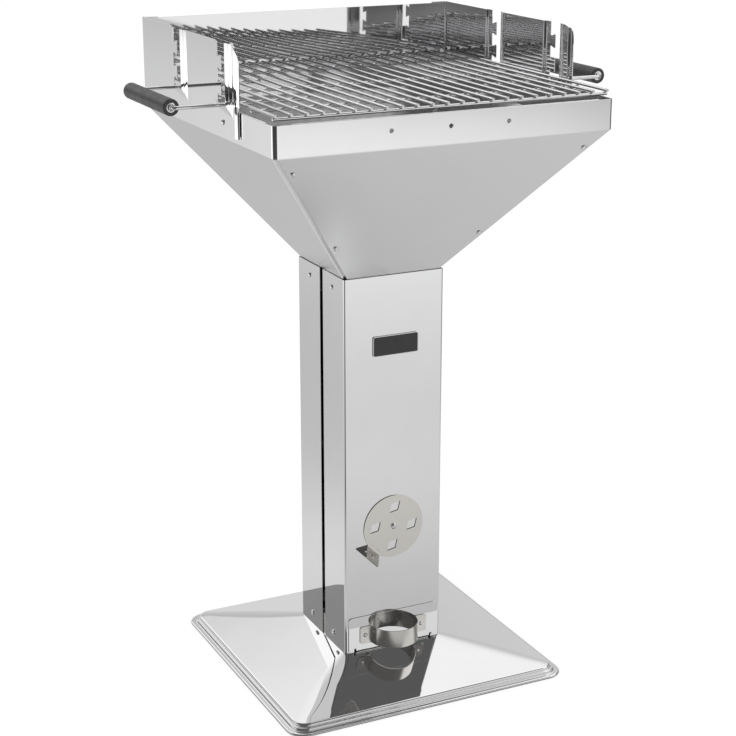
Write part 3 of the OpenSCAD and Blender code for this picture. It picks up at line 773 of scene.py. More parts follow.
class Finishes(Enum):
    """The finishes of this grill."""

    SHEET = PolishedSheet("polished_sheet_steel", roughness=0.018, **STEEL)
    FUNNEL = FoldedSheet("folded_sheet_steel", roughness=0.03, fold_z=mm(786), haze_below=0.18, **STEEL)
    FOOT = PolishedSheet(
        "polished_pressed_steel", roughness=0.025, wave_scale=7.0, wave_depth=mm(0.3), **STEEL
    )
    SATIN = SatinMetal(
        "satin_rolled_steel", "satin_steel", colour=(0.71, 0.69, 0.655), shade=(0.68, 0.66, 0.625),
        roughness=0.2, spread=0.05, depth=mm(0.002),
    )
    FASTENER = SatinMetal(
        "bright_plated_fastener", "bright_fastener", colour=(0.82, 0.82, 0.825), shade=(0.76, 0.76, 0.765),
        roughness=0.09, spread=0.06, streaks=(300.0, 300.0, 300.0), depth=mm(0.004),
    )
    WIRE = SatinMetal(
        "bright_plated_wire", "plated_wire", colour=(0.76, 0.76, 0.765), shade=(0.66, 0.66, 0.665),
        roughness=0.055, spread=0.04, streaks=(120.0, 120.0, 120.0), depth=mm(0.006),
    )
    COAL_WIRE = SatinMetal(
        "plain_drawn_wire", "coal_wire", colour=(0.45, 0.45, 0.44), shade=(0.33, 0.32, 0.31),
        roughness=0.34, spread=0.16, streaks=(90.0, 90.0, 90.0), depth=mm(0.012),
    )
    GRIP = MouldedPlastic(
        "black_moulded_grip", "grip_plastic", colour=(0.035, 0.035, 0.036), shade=(0.028, 0.028, 0.029),
        roughness=0.42, spread=0.05, metallic=0.0,
    )
    PLATE = MouldedPlastic(
        "black_plate", "plate_black", colour=(0.02, 0.02, 0.021), shade=(0.016, 0.016, 0.017),
        roughness=0.28, spread=0.05, metallic=0.0, grain_scale=900.0, grain_depth=mm(0.006),
    )
    RIM = SatinMetal(
        "raised_silver_rim", "plate_silver", colour=(0.82, 0.82, 0.83), shade=(0.72, 0.72, 0.73),
        roughness=0.16, spread=0.06, streaks=(200.0, 200.0, 200.0), depth=mm(0.003),
    )


class Body(Enum):
    """The moving and standing bodies of the frame."""

    STAND = "stand"
    GRATE = "cooking_grate"
    LEFT_GRIP = "left_grip"
    RIGHT_GRIP = "right_grip"
    COAL = "charcoal_grate"
    DRAWER = "ash_drawer"
    DAMPER = "damper"


class Side(Enum):
    """Left or right, as seen from the front."""

    LEFT = -1
    RIGHT = 1

    @property
    def word(self) -> str:
        """The side's word in a node's name."""
        return self.name.lower()


FRAME: dict = {}


def low_high(node: str) -> tuple[Vector, Vector]:
    """Gives a node's lowest and highest corners."""
    low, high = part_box(node)
    return Vector(low), Vector(high)


class Workshop:
    """Turns finished meshes into pieces that hang on the frame."""

    @staticmethod
    def piece(
        name: str,
        bm: Mesh,
        finish: Finishes,
        node: str,
        body: Body = Body.STAND,
        edge: float = 0.0,
        sharp_deg: float = 35.0,
        cuts: Sequence[Mesh] = (),
    ) -> None:
        """Makes one piece.

        Args:
            name: The piece's name.
            bm: Its mesh, in the frame's coordinates. It is freed here.
            finish: Its finish.
            node: The node of the frame that it stands for.
            body: The body that it moves with.
            edge: Rounding of its sharp edges.
            sharp_deg: Edges sharper than this stay sharp.
            cuts: Solids that are cut out of it. They are freed here.
        """
        piece = Workshop.shaped(name, bm, edge, cuts)
        piece.data.shade_smooth()
        piece.data.set_sharp_from_angle(angle=math.radians(sharp_deg))
        weights = piece.modifiers.new("flat_faces", "WEIGHTED_NORMAL")
        weights.keep_sharp = True
        weights.weight = 100
        piece.data.materials.clear()
        piece.data.materials.append(finish.value.material())
        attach(piece, body.value)
        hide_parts(node)
        LOG.info("%s: %d faces", name, len(piece.data.polygons))

    @staticmethod
    def shaped(name: str, bm: Mesh, edge: float, cuts: Sequence[Mesh]) -> Object:
        """Puts a mesh into an object, cuts it and rounds its sharp edges.

        Args:
            name: The object's name.
            bm: Its mesh. It is freed here.
            edge: Rounding of its sharp edges.
            cuts: Solids that are cut out of it. They are freed here.

        Returns:
            The new object.
        """
        piece = Workshop.holder(name, bm)
        for cut in cuts:
            cutter = Workshop.holder(name + "_cut", cut)
            boolean = piece.modifiers.new("cut", "BOOLEAN")
            boolean.operation = "DIFFERENCE"
            boolean.solver = "EXACT"
            boolean.object = cutter
            Workshop.apply(piece)
            bpy.data.meshes.remove(cutter.data)
        if edge:
            bevel = piece.modifiers.new("edges", "BEVEL")
            bevel.width = edge
            bevel.segments = 2
            bevel.limit_method = "ANGLE"
            bevel.angle_limit = BEVEL_FROM
            Workshop.apply(piece)
        return piece

    @staticmethod
    def holder(name: str, bm: Mesh) -> Object:
        """Puts a mesh into a new object, its faces turned outward.

        Args:
            name: The object's name.
            bm: The mesh. It is freed here.

        Returns:
            The new object.
        """
        bmesh.ops.recalc_face_normals(bm, faces=bm.faces)
        mesh = bpy.data.meshes.new(name)
        bm.to_mesh(mesh)
        bm.free()
        holder = bpy.data.objects.new(name, mesh)
        bpy.context.scene.collection.objects.link(holder)
        return holder

    @staticmethod
    def apply(piece: Object) -> None:
        """Bakes an object's modifiers into its mesh.

        Args:
            piece: The object.
        """
        bpy.context.view_layer.update()
        graph = bpy.context.evaluated_depsgraph_get()
        baked = bpy.data.meshes.new_from_object(piece.evaluated_get(graph))
        old = piece.data
        piece.modifiers.clear()
        piece.data = baked
        baked.name = piece.name
        bpy.data.meshes.remove(old)

    @staticmethod
    def dress_node(name: str, finish: Finishes) -> None:
        """Gives a node of the frame that stays shown its finish.

        Args:
            name: The node's name.
            finish: Its finish.
        """
        node = FRAME["nodes"][name]
        node.data.materials.clear()
        node.data.materials.append(finish.value.material())
        LOG.info("%s: kept, dressed as %s", name, finish.value.name)


@dataclass
class Foot:
    """The pressed square foot: a flat flange, a stepped rim and four soft slopes."""

    sheet: float = mm(1.2)
    skirt_h: float = mm(4.2)
    flange_w: float = mm(7)
    flange_r: float = mm(26)
    roll_from_deg: float = 250.0
    low_step_h: float = mm(4)
    ledge_w: float = mm(3)
    high_step_h: float = mm(4.6)
    step_lean: float = mm(1)
    bend_r: float = mm(1.3)
    brow_r: float = mm(3)
    corner_fall: float = 0.55
    corner_least: float = mm(4)
    hip_r_high: float = mm(13)
    hip_swell: float = mm(8)
    slope_rings: int = 16
    corner_steps: int = 12
    stand_gap: float = mm(0.5)
    cap_drop: float = mm(0.02)

    def __post_init__(self) -> None:
        """Takes the outer size from the frame."""
        high = low_high("foot")[1]
        self.half_w, self.half_d, self.top = high
        column = low_high("column_rear")[1]
        self.stand_w = column.x + self.stand_gap
        self.stand_d = column.y + self.stand_gap

    def profile(self) -> list[Point2]:
        """Gives the section from the outer edge to the slope's start.

        Returns:
            Points of inset from the outer edge and height.
        """
        low = self.flange_w + self.step_lean
        high = low + self.ledge_w
        brow = high + self.step_lean
        ledge_z = self.skirt_h + self.low_step_h
        brow_z = ledge_z + self.high_step_h
        run = self.half_w - self.stand_w - brow
        start = 4 * self.brow_r
        roll = self.skirt_h / 2
        corners = [(self.flange_w, self.skirt_h), (low, ledge_z), (high, ledge_z)]
        corners += [(brow, brow_z), (brow + start, brow_z + (self.top - brow_z) * start / run)]
        rolled = arc((roll, roll), roll, self.roll_from_deg, 90, 12)
        return rolled + filleted([rolled[-1], *corners], [self.bend_r] * 3 + [self.brow_r])[1:]

    def corner_at(self, inset: float) -> float:
        """Gives the corner radius of the rim's ring at an inset from the outer edge."""
        return max(self.flange_r - inset * self.corner_fall, self.corner_least)

    def rings(self, drop: float) -> Grid:
        """Gives the rings of one surface.

        Args:
            drop: How far it lies below the outer surface.

        Returns:
            The rings, from the outer edge to the top.
        """
        section = shifted(self.profile(), -drop) if drop else self.profile()
        rows = [self.ring(self.half_w - i, self.half_d - i, self.corner_at(i), z) for i, z in section]
        inset, height = section[-1]
        start_w, start_d, start_r = self.half_w - inset, self.half_d - inset, self.corner_at(inset)
        for i in range(1, self.slope_rings + 1):
            share = i / self.slope_rings
            w = start_w + (self.stand_w - start_w) * share
            d = start_d + (self.stand_d - start_d) * share
            swell = self.hip_swell * 4 * share * (1 - share)
            r = start_r + (self.hip_r_high - start_r) * share + swell
            rows.append(self.ring(w, d, r, height + (self.top - drop - height) * share))
        return rows

    def ring(self, half_w: float, half_d: float, radius: float, height: float) -> list[Vector]:
        """Gives one level ring."""
        return [Vector((x, y, height)) for x, y in round_box(half_w, half_d, radius, self.corner_steps)]

    def build(self) -> None:
        """Builds the foot and dresses what joins it to the column."""
        bm = made(add_sheet, self.rings(0.0), self.rings(self.sheet), ring=True)
        cap = round_box(self.stand_w, self.stand_d, self.hip_r_high)
        under = Matrix.Translation((0, 0, self.top - self.sheet - self.cap_drop))
        add_outline(bm, [cap], self.sheet, under)
        Workshop.piece("foot_pressing", bm, Finishes.FOOT, "foot")
        for name in ("foot_bracket_left", "foot_bracket_right"):
            Workshop.dress_node(name, Finishes.SATIN)
        Workshop.dress_node("bracket_rivets", Finishes.FASTENER)


@dataclass
class Column:
    """The square column of two bent shells with a gap between them, its air holes and its ash mouth."""

    sheet: float = mm(1)
    bend_r: float = mm(3)
    edge_r: float = mm(0.25)
    mouth_half: float = mm(61)
    mouth_h: float = mm(47)
    mouth_r: float = mm(3)
    mouth_below: float = mm(5)
    hole_side: float = mm(13.6)
    hole_angle: float = 66.0
    hole_lean: float = 43.0
    hole_turn: float = 41.0
    hole_orbit: float = mm(28.5)
    hole_soft: float = mm(0.8)

    def __post_init__(self) -> None:
        """Takes the shells' size from the frame."""
        low, high = low_high("column_front")
        self.half, self.front_end, self.top = high
        self.front, self.bottom = low.y, low.z
        low, high = low_high("column_rear")
        self.rear_start, self.back = low.y, high.y

    def shell(self, ends_y: float, face_y: float) -> Mesh:
        """Builds a U-shaped shell.

        Args:
            ends_y: Where its two side edges end.
            face_y: Where its outer face is.

        Returns:
            The shell's mesh.
        """
        corners = [(-self.half, ends_y), (-self.half, face_y), (self.half, face_y), (self.half, ends_y)]
        outer = filleted(corners, [self.bend_r] * 2, 8)
        inner = shifted(outer, -self.sheet if face_y > ends_y else self.sheet)
        levels = (self.bottom, self.top)
        rows = [[[Vector((x, y, z)) for x, y in line] for z in levels] for line in (outer, inner)]
        return made(add_sheet, *rows)

    def air_holes(self, turn: float) -> list[Line]:
        """Gives the outlines of the four rhombic air holes.

        Args:
            turn: Angle of the first hole round the damper's middle, in degrees.

        Returns:
            The four outlines.
        """
        half, lean = math.radians(self.hole_angle / 2), math.radians(self.hole_lean)
        a, b = self.hole_side * math.cos(half), self.hole_side * math.sin(half)
        ends = [(-a / 2, -b / 2)]
        outline = filleted([*ends, (0, -b), (a, 0), (0, b), (-a, 0), *ends], [self.hole_soft] * 4, 3)[:-1]
        cos, sin = math.cos(lean), math.sin(lean)
        out = []
        for quarter in range(4):
            at = math.radians(turn + 90 * quarter)
            cx, cy = self.hole_orbit * math.cos(at), self.hole_orbit * math.sin(at)
            out.append([(cx + x * cos - y * sin, cy + x * sin + y * cos) for x, y in outline])
        return out

    def cutters(self, damper_z: float) -> list[Mesh]:
        """Gives the solids of the air holes and the ash mouth.

        Args:
            damper_z: Height of the damper's middle.

        Returns:
            One solid for each opening.
        """
        depth = 8 * self.sheet
        half, below = self.mouth_half, -self.mouth_below
        mouth = [(-half, below), (half, below), *round_top(half, self.mouth_h, self.mouth_r)]
        cuts = [(outline, damper_z) for outline in self.air_holes(self.hole_turn)] + [(mouth, self.bottom)]
        y = self.front + depth / 2
        return [made(add_outline, [outline], depth, upright_at(0, y, z), CUT_EDGE) for outline, z in cuts]

    def build(self, damper_z: float) -> None:
        """Builds both shells.

        Args:
            damper_z: Height of the damper's middle.
        """
        front = ("column_front", self.front_end, self.front, self.cutters(damper_z))
        for name, ends_y, face_y, cuts in (front, ("column_rear", self.rear_start, self.back, ())):
            shell = self.shell(ends_y, face_y)
            Workshop.piece(name + "_shell", shell, Finishes.SHEET, name, edge=self.edge_r, cuts=cuts)


@dataclass
class Funnel:
    """The fire tray: four bent panels with a rim band, sloping sides, hip flanges and a collar."""

    sheet: float = mm(1)
    edge_r: float = mm(0.2)
    fold_r: float = mm(2.5)
    neck_r: float = mm(2)
    hem_h: float = mm(8)
    hem_r: float = mm(0.6)
    corner_gap: float = mm(5)
    layer_gap: float = mm(0.15)
    flange_w: float = mm(22)
    corner_across: float = mm(5.4)
    corner_along: float = mm(2.8)
    corner_bend_r: Point2 = (mm(3), mm(4))
    collar_in: float = mm(3)
    funnel_h: float = mm(199)
    rim_h: float = mm(41)
    hole_pitch: float = mm(82)
    hole_r: float = mm(3)
    hole_drop: float = mm(18)

    def __post_init__(self) -> None:
        """Takes the tray's and the neck's size from the frame."""
        low, high = low_high("funnel_left")
        self.half_w = -low.x
        self.rim_top = high.z
        self.collar_z = low.z
        self.half_d = -low_high("funnel_front")[0].y
        self.neck_w, self.neck_d, _ = low_high("column_rear")[1]
        self.fold_z = self.rim_top - self.rim_h
        self.neck_z = self.fold_z - self.funnel_h
        self.panel_top = self.rim_top - self.sheet / 2 - self.hem_r

    def section(self, half: float, neck: float, inset: float) -> list[Point2]:
        """Gives the middle line of a panel's section, from the collar up to the rim's edge.

        Args:
            half: Half width of the tray along this section.
            neck: Half width of the column.
            inset: How far the panel's outer face lies inside the tray's outer face.

        Returns:
            Points of distance from the middle and height.
        """
        mid = inset + self.sheet / 2
        run = half - neck
        slope = math.hypot(run, self.funnel_h) / self.funnel_h * mid
        collar = neck - self.collar_in - mid
        band = half - mid
        low = self.neck_z + (collar - neck + slope) * self.funnel_h / run
        high = self.neck_z + (band - neck + slope) * self.funnel_h / run
        corners = [(collar, self.collar_z), (collar, low), (band, high), (band, self.panel_top)]
        return filleted(corners, [self.neck_r, self.fold_r], 8)

    def hem_half(self, half: float) -> float:
        """Gives half the length of the rim's rolled edge, clear of the corner flanges."""
        return half - self.flange_w - self.sheet

    def add_hem(
        self, bm: Mesh, place: Callable[[float, float, float], Vector], half_len: float, out: float
    ) -> None:
        """Adds the rim's edge, rolled over to the inside, and joins it to the panel below.

        Args:
            bm: The panel's mesh.
            place: Turns a distance outward, a place along the rim and a height into a point.
            half_len: Half length of the hem.
            out: Distance of the panel's middle line from the middle of the tray.
        """
        r = self.hem_r
        line = arc((out - r, self.panel_top), r, 0, 180, 10) + [(out - 2 * r, self.panel_top - self.hem_h)]
        surfaces = []
        for half_t in both_faces(self.sheet):
            moved = [(out + half_t, self.panel_top), *shifted(line, -half_t)[1:]]
            surfaces.append([[place(u, s, z) for s in (-half_len, half_len)] for u, z in moved])
        add_sheet(bm, *surfaces)
        weld(bm)

    def front_panel(self, sign: int, word: str, cuts: Sequence[Mesh]) -> None:
        """Builds the front or rear panel.

        Args:
            sign: -1 for the front and 1 for the rear.
            word: The panel's word in its names.
            cuts: Solids of its holes.
        """
        path = self.section(self.half_d, self.neck_d, 0.0)
        across = self.section(self.half_w, self.neck_w, 0.0)
        half, top = self.hem_half(self.half_w), self.half_w - self.corner_gap
        surfaces = []
        for half_t in both_faces(self.sheet):
            rows: Grid = []
            for (u, z), (w, _) in zip(shifted(path, -half_t), across):
                reach = w + self.sheet / 2 - self.corner_gap
                hemmed = reach * half / top
                rows.append([Vector((x, sign * u, z)) for x in (-reach, -hemmed, hemmed, reach)])
            surfaces.append(rows)
        bm = made(add_sheet, *surfaces)
        self.add_hem(bm, lambda u, s, z: Vector((s, sign * u, z)), half, self.half_d - self.sheet / 2)
        name = "funnel_" + word
        Workshop.piece(name + "_panel", bm, Finishes.FUNNEL, name, edge=self.edge_r, cuts=cuts)

    def plan(self, w: float, d: float, tip: float, half_t: float, hemmed: float) -> list[Point2]:
        """Gives one level line of a side panel and its two flanges.

        Args:
            w: Distance of the panel's face from the middle.
            d: Distance of the flanges' faces from the middle.
            tip: Where the flanges end.
            half_t: Distance of this face from the sheet's middle.
            hemmed: Where the hem ends.

        Returns:
            The line's points, with the hem's ends among them.
        """
        front = [(tip, d), (w - self.corner_across, d), (w, d - self.corner_along)]
        side_r, front_r = (r - self.sheet / 2 + half_t for r in self.corner_bend_r)
        corners = [(x, -y) for x, y in front] + front[::-1]
        line = filleted(corners, [front_r, side_r, side_r, front_r], 8)
        middle = len(line) // 2
        return line[:middle] + [(w, -hemmed), (w, hemmed)] + line[middle:]

    def side_panel(self, side: Side) -> None:
        """Builds a side panel with its two hip flanges.

        Args:
            side: Left or right.
        """
        sx = side.value
        side_mid = self.section(self.half_w, self.neck_w, 0.0)
        front_mid = self.section(self.half_d, self.neck_d, self.sheet + self.layer_gap)
        half = self.hem_half(self.half_d)
        surfaces = []
        for half_t in both_faces(self.sheet):
            rows: Grid = []
            lines = zip(shifted(side_mid, -half_t), shifted(front_mid, -half_t), side_mid, front_mid)
            for (w, z), (d, _), (w_mid, _), (d_mid, _) in lines:
                tip = w_mid + self.sheet / 2 - self.flange_w
                line = self.plan(w, d, tip, half_t, half * d_mid / front_mid[-1][0])
                rows.append([Vector((sx * x, y, z)) for x, y in line])
            surfaces.append(rows)
        bm = made(add_sheet, *surfaces)
        self.add_hem(bm, lambda u, s, z: Vector((sx * u, s, z)), half, self.half_w - self.sheet / 2)
        name = "funnel_" + side.word
        Workshop.piece(name + "_panel", bm, Finishes.FUNNEL, name, edge=self.edge_r)

    def build(self) -> None:
        """Builds the four panels, the front one with three holes in its rim."""
        r, depth = self.hole_r, 8 * self.sheet
        y, z = -self.half_d + depth / 2, self.rim_top - self.hole_drop
        pin = [(0, 0), (r, 0), (r, depth), (0, depth)]
        holes = [made(add_lathe, pin, upright_at(i * self.hole_pitch, y, z)) for i in (-1, 0, 1)]
        self.front_panel(-1, "front", holes)
        self.front_panel(1, "rear", ())
        for side in Side:
            self.side_panel(side)


@dataclass
class Windshield:
    """Two side walls with pressed beads and height slots, and a plain rear wall."""

    sheet: float = mm(1)
    edge_r: float = mm(0.2)
    sharp_deg: float = 40.0
    bead_depth: float = mm(3.5)
    ramp_line: tuple[Point2, ...] = ((0.0, 0.0), (mm(7), 0.6), (mm(8), 0.4), (mm(16), 1.0))
    end_line: tuple[Point2, ...] = ((0.0, 0.0), (mm(11.5), 1.0), (mm(13), 0.0))
    edge_line: tuple[Point2, ...] = ((0.0, 0.0), (mm(1.6), 1.0), (mm(11.5), 0.0))
    edge_share: float = 0.5
    edge_fade: Point2 = (mm(824), mm(832))
    swell: float = 1.5
    fine_step: float = mm(1)
    coarse_step: float = mm(4)
    last_gap: float = mm(0.5)
    rows: int = 56
    slot_w: float = mm(24.5)
    slot_fronts: Point2 = (mm(-88), mm(70.2))
    slot_bottom: float = mm(828.7)
    slot_over: float = mm(5)
    slot_r: float = mm(3)
    cut_depth: float = mm(12)
    cut_in: float = mm(3)
    tooth_w: float = mm(12.2)
    tooth_mids: Point2 = (mm(849.8), mm(881.6))
    tooth_half: float = mm(7)
    tooth_soft: Point3 = (mm(1), mm(1.2), mm(1.2))
    ear_h: float = mm(2.9)
    ear_w: float = mm(8.5)
    ramp_w: float = mm(16)
    step_w: float = mm(3)
    back_margin: float = mm(9.8)
    foot_z: float = mm(817)
    foot_over: float = mm(4)
    foot_rise: float = 1.35
    foot_slant: float = 0.6
    corner_r: float = mm(24)
    bend_r: float = mm(0.8)
    corner_mid_r: float = mm(4)
    face_gap: float = mm(0.1)
    rear_in: float = mm(1.9)
    rear_lean: float = 0.02
    rear_lean_x: float = mm(30)
    rear_lean_w: float = mm(200)
    rear_grid: tuple[int, int] = (48, 8)

    def __post_init__(self) -> None:
        """Takes the walls' size from the frame."""
        low, high = low_high("windshield_left")
        self.tab_x = high.x
        self.front, self.back = low.y, high.y
        self.bottom, self.top = low.z, high.z
        self.rear_low, self.rear_high = low_high("windshield_rear")
        self.face_x = self.rear_high.x + self.face_gap

    def bead(self, y: float, z: float) -> float:
        """Gives how far the wall is pressed outward at a place.

        Args:
            y: The place along the wall.
            z: Its height.

        Returns:
            The bead's height there.
        """
        out = 0.0
        reach = clamped((z - self.foot_z) / (self.slot_bottom + self.foot_over - self.foot_z))
        for front in self.slot_fronts:
            start = front - self.ramp_w
            end = front + self.slot_w + self.back_margin
            rise = between(self.ramp_line, y - start, self.swell)
            fall = clamped((end + self.step_w - y) / self.step_w)
            across = clamped((y - start) / (end - start))
            taper = clamped(reach * self.foot_rise - across * self.foot_slant) if reach < 1 else 1.0
            out = max(out, self.bead_depth * min(rise, fall, taper))
        run = y - self.front
        low, high = self.edge_fade
        edge = self.edge_share * clamped((high - z) / (high - low)) * between(self.edge_line, run)
        return max(out, self.bead_depth * (between(self.end_line, run, self.swell) + edge))

    def softened(self, y: float, z: float) -> float:
        """Gives the bead's height averaged over a bend's width, so that its bends are round."""
        shares = (-1.0, -0.6, -0.2, 0.2, 0.6, 1.0)
        return sum(self.bead(y + s * self.bend_r, z) for s in shares) / len(shares)

    def stations(self) -> list[float]:
        """Gives the places along the wall, closer together across each bend.

        Returns:
            The places, from front to back.
        """
        digits = 6
        last = self.back - self.sheet / 2 - self.corner_mid_r
        marks = {self.front + run for run, _ in self.end_line + self.edge_line}
        starts = [self.front] + [front - self.ramp_w for front in self.slot_fronts]
        for start in starts[1:]:
            marks |= {start + run for run, _ in self.ramp_line}
            end = start + self.ramp_w + self.slot_w + self.back_margin
            marks |= {end, end + self.step_w}
        fine = {round(mark + k * self.bend_r / 3, digits) for mark in marks for k in range(-3, 4)}
        steps = range(int(self.ramp_w / self.fine_step))
        fine |= {round(start + k * self.fine_step, digits) for start in starts for k in steps}
        y = self.front
        while y < last:
            fine.add(round(y, digits))
            y += self.coarse_step
        return sorted(v for v in fine if self.front <= v < last - self.last_gap) + [last]

    def wall(self, side: Side) -> Mesh:
        """Builds one side wall, with the tab that lies behind the rear wall and without its slots.

        Args:
            side: Left or right.

        Returns:
            The wall's mesh.
        """
        middle, end, r = self.face_x + self.sheet / 2, self.back - self.sheet / 2, self.corner_mid_r
        ys = self.stations()
        tops = [round_end(self.top, y - self.front, self.corner_r) for y in ys]
        outer: Grid = []
        inner: Grid = []
        for i in range(self.rows + 1):
            heights = [self.bottom + (top - self.bottom) * i / self.rows for top in tops]
            line = [(y, middle + self.softened(y, z)) for y, z in zip(ys, heights)]
            for half_t, rows in zip(both_faces(self.sheet), (outer, inner)):
                bend = arc((end - r, middle - r), r + half_t, 90, 0, 10)[1:]
                places = [*shifted(line, half_t), *bend, (end + half_t, abs(self.tab_x))]
                levels = heights + [heights[-1]] * (len(places) - len(heights))
                rows.append([Vector((side.value * x, y, z)) for (y, x), z in zip(places, levels)])
        return made(add_sheet, outer, inner)

    def slot_outline(self, front: float) -> list[Point2]:
        """Gives the outline of a height slot with its two eared teeth.

        Args:
            front: Where the slot's front edge is.

        Returns:
            Places along and up the wall.
        """
        back = front + self.slot_w
        tip = back - self.tooth_w
        low, high = self.slot_bottom, self.top + self.slot_over
        r = self.slot_r
        points: list[Point2] = [(front, high)]
        points += arc((front + r, low + r), r, 180, 270, 5)
        points += arc((back - r, low + r), r, 270, 360, 5)
        for mid in self.tooth_mids:
            neck = mid - self.tooth_half
            tooth = [(back, low + 2 * r), (back, neck), (tip + self.ear_w, neck), (tip, neck - self.ear_h)]
            corner = filleted([*tooth, (tip, mid)], self.tooth_soft, 4)[1:-1]
            points += corner
            points += [(y, 2 * mid - z) for y, z in reversed(corner)]
        return [*points, (back, high)]

    def cutters(self, side: Side) -> list[Mesh]:
        """Gives the solids of the two slots.

        Args:
            side: Left or right.

        Returns:
            One solid for each slot.
        """
        place = Matrix(((0, 0, side.value, 0), (1, 0, 0, 0), (0, 1, 0, 0), (0, 0, 0, 1)))
        place = Matrix.Translation((side.value * (self.face_x - self.cut_in), 0, 0)) @ place
        outlines = [self.slot_outline(front) for front in self.slot_fronts]
        return [made(add_outline, [outline], self.cut_depth, place, CUT_EDGE) for outline in outlines]

    def rear_wall(self) -> None:
        """Builds the rear wall, bowed by a hair as thin sheet is between its screws."""
        low, high = self.rear_low, self.rear_high
        half = high.x - self.rear_in
        across, up = self.rear_grid
        xs = even(-half, half, across + 1)
        leans = [self.rear_lean * math.cos(QUARTER * (x - self.rear_lean_x) / self.rear_lean_w) for x in xs]
        surfaces = []
        for y in (low.y, high.y):
            rows: Grid = []
            for rise in even(0.0, high.z - low.z, up + 1):
                rows.append([Vector((x, y + lean * rise, low.z + rise)) for x, lean in zip(xs, leans)])
            surfaces.append(rows)
        rear = made(add_sheet, *surfaces)
        Workshop.piece("windshield_rear_wall", rear, Finishes.SHEET, "windshield_rear", edge=self.edge_r)

    def build(self) -> None:
        """Builds the three walls."""
        for side in Side:
            name = "windshield_" + side.word
            cuts = self.cutters(side)
            look = {"edge": self.edge_r, "sharp_deg": self.sharp_deg}
            Workshop.piece(name + "_wall", self.wall(side), Finishes.SHEET, name, cuts=cuts, **look)
        self.rear_wall()


@dataclass
class Fasteners:
    """Dome-head screws, hex nuts and pop rivets, set where the frame's own solids are."""

    head_r: float = mm(4)
    head_h: float = mm(2.4)
    dome_deg: float = 86.0
    square: float = 0.8
    seat_soft: float = mm(0.1)
    shank_r: float = mm(2)
    plain_len: float = mm(1)
    thread_pitch: float = mm(0.7)
    thread_deep: float = mm(0.28)
    tip_in: float = mm(0.5)
    nut_r: float = mm(4.05)
    nut_h: float = mm(3)
    nut_sides: int = 36
    nut_gap: float = mm(0.06)
    nut_soft: Point2 = (mm(0.05), mm(0.35))
    sides: int = 24

    def screw(self, bm: Mesh, place: Matrix, shank: float) -> None:
        """Adds a screw whose head's seat is at the place's origin.

        Args:
            bm: The mesh to add to.
            place: Where it goes, with +Z out of the head.
            shank: Length of its shank.
        """
        r, h, soft, pitch = self.head_r, self.head_h, self.seat_soft, self.thread_pitch
        angles = even(0.0, math.radians(self.dome_deg), 11)
        profile = [(r * math.sin(a) ** self.square, h * math.cos(a) ** self.square) for a in angles]
        z = -self.plain_len
        profile += [(r, soft), (r - soft, 0.0), (self.shank_r, 0.0), (self.shank_r, z)]
        while z > -shank + pitch:
            profile += [(self.shank_r - self.thread_deep, z - pitch / 2), (self.shank_r, z - pitch)]
            z -= pitch
        profile += [(self.shank_r - self.tip_in, -shank), (0.0, -shank)]
        add_lathe(bm, profile, place, self.sides)

    def nut(self, bm: Mesh, place: Matrix) -> None:
        """Adds a hex nut with chamfered corners.

        Args:
            bm: The mesh to add to.
            place: Where it goes: its seat is at the origin and it stands along +Z.
        """
        r, h, bore = self.nut_r, self.nut_h, self.shank_r + self.nut_gap
        flat = r * math.cos(math.pi / 6)
        in_, up = self.nut_soft
        angles = [2 * math.pi * i / self.nut_sides for i in range(self.nut_sides)]
        hexed = [flat / math.cos((a + math.pi / 6) % (math.pi / 3) - math.pi / 6) for a in angles]
        rows = []
        for z, limit in ((0.0, flat + in_), (up, r), (h - up, r), (h, flat + in_), (h, bore), (0.0, bore)):
            spots = [(min(reach, limit), a) for reach, a in zip(hexed, angles)]
            points = [Vector((reach * math.cos(a), reach * math.sin(a), z)) for reach, a in spots]
            rows.append([bm.verts.new(place @ p) for p in points])
        skin(bm, [*rows, rows[0]])

    def rivet(self, bm: Mesh, place: Matrix, grip: float) -> None:
        """Adds a pop rivet: a low dome with the broken pin's hollow in its middle.

        Args:
            bm: The mesh to add to.
            place: Where it goes, with +Z out of the dome.
            grip: Thickness of the sheets that it holds.
        """
        head = mm_line((0, 0.55), (0.8, 0.55), (0.95, 1.2), (1.3, 1.3), (2.1, 1.08), (2.8, 0.65), (3.2, 0.12))
        seat = mm_line((3.2, 0), (1.6, 0))
        tail = [(r, z - grip) for r, z in mm_line((1.6, 0), (2.4, 0), (2.2, -1.2), (0, -1.3))]
        add_lathe(bm, head + seat + tail, place, self.sides)


Places = list[tuple[Vector, Vector]]


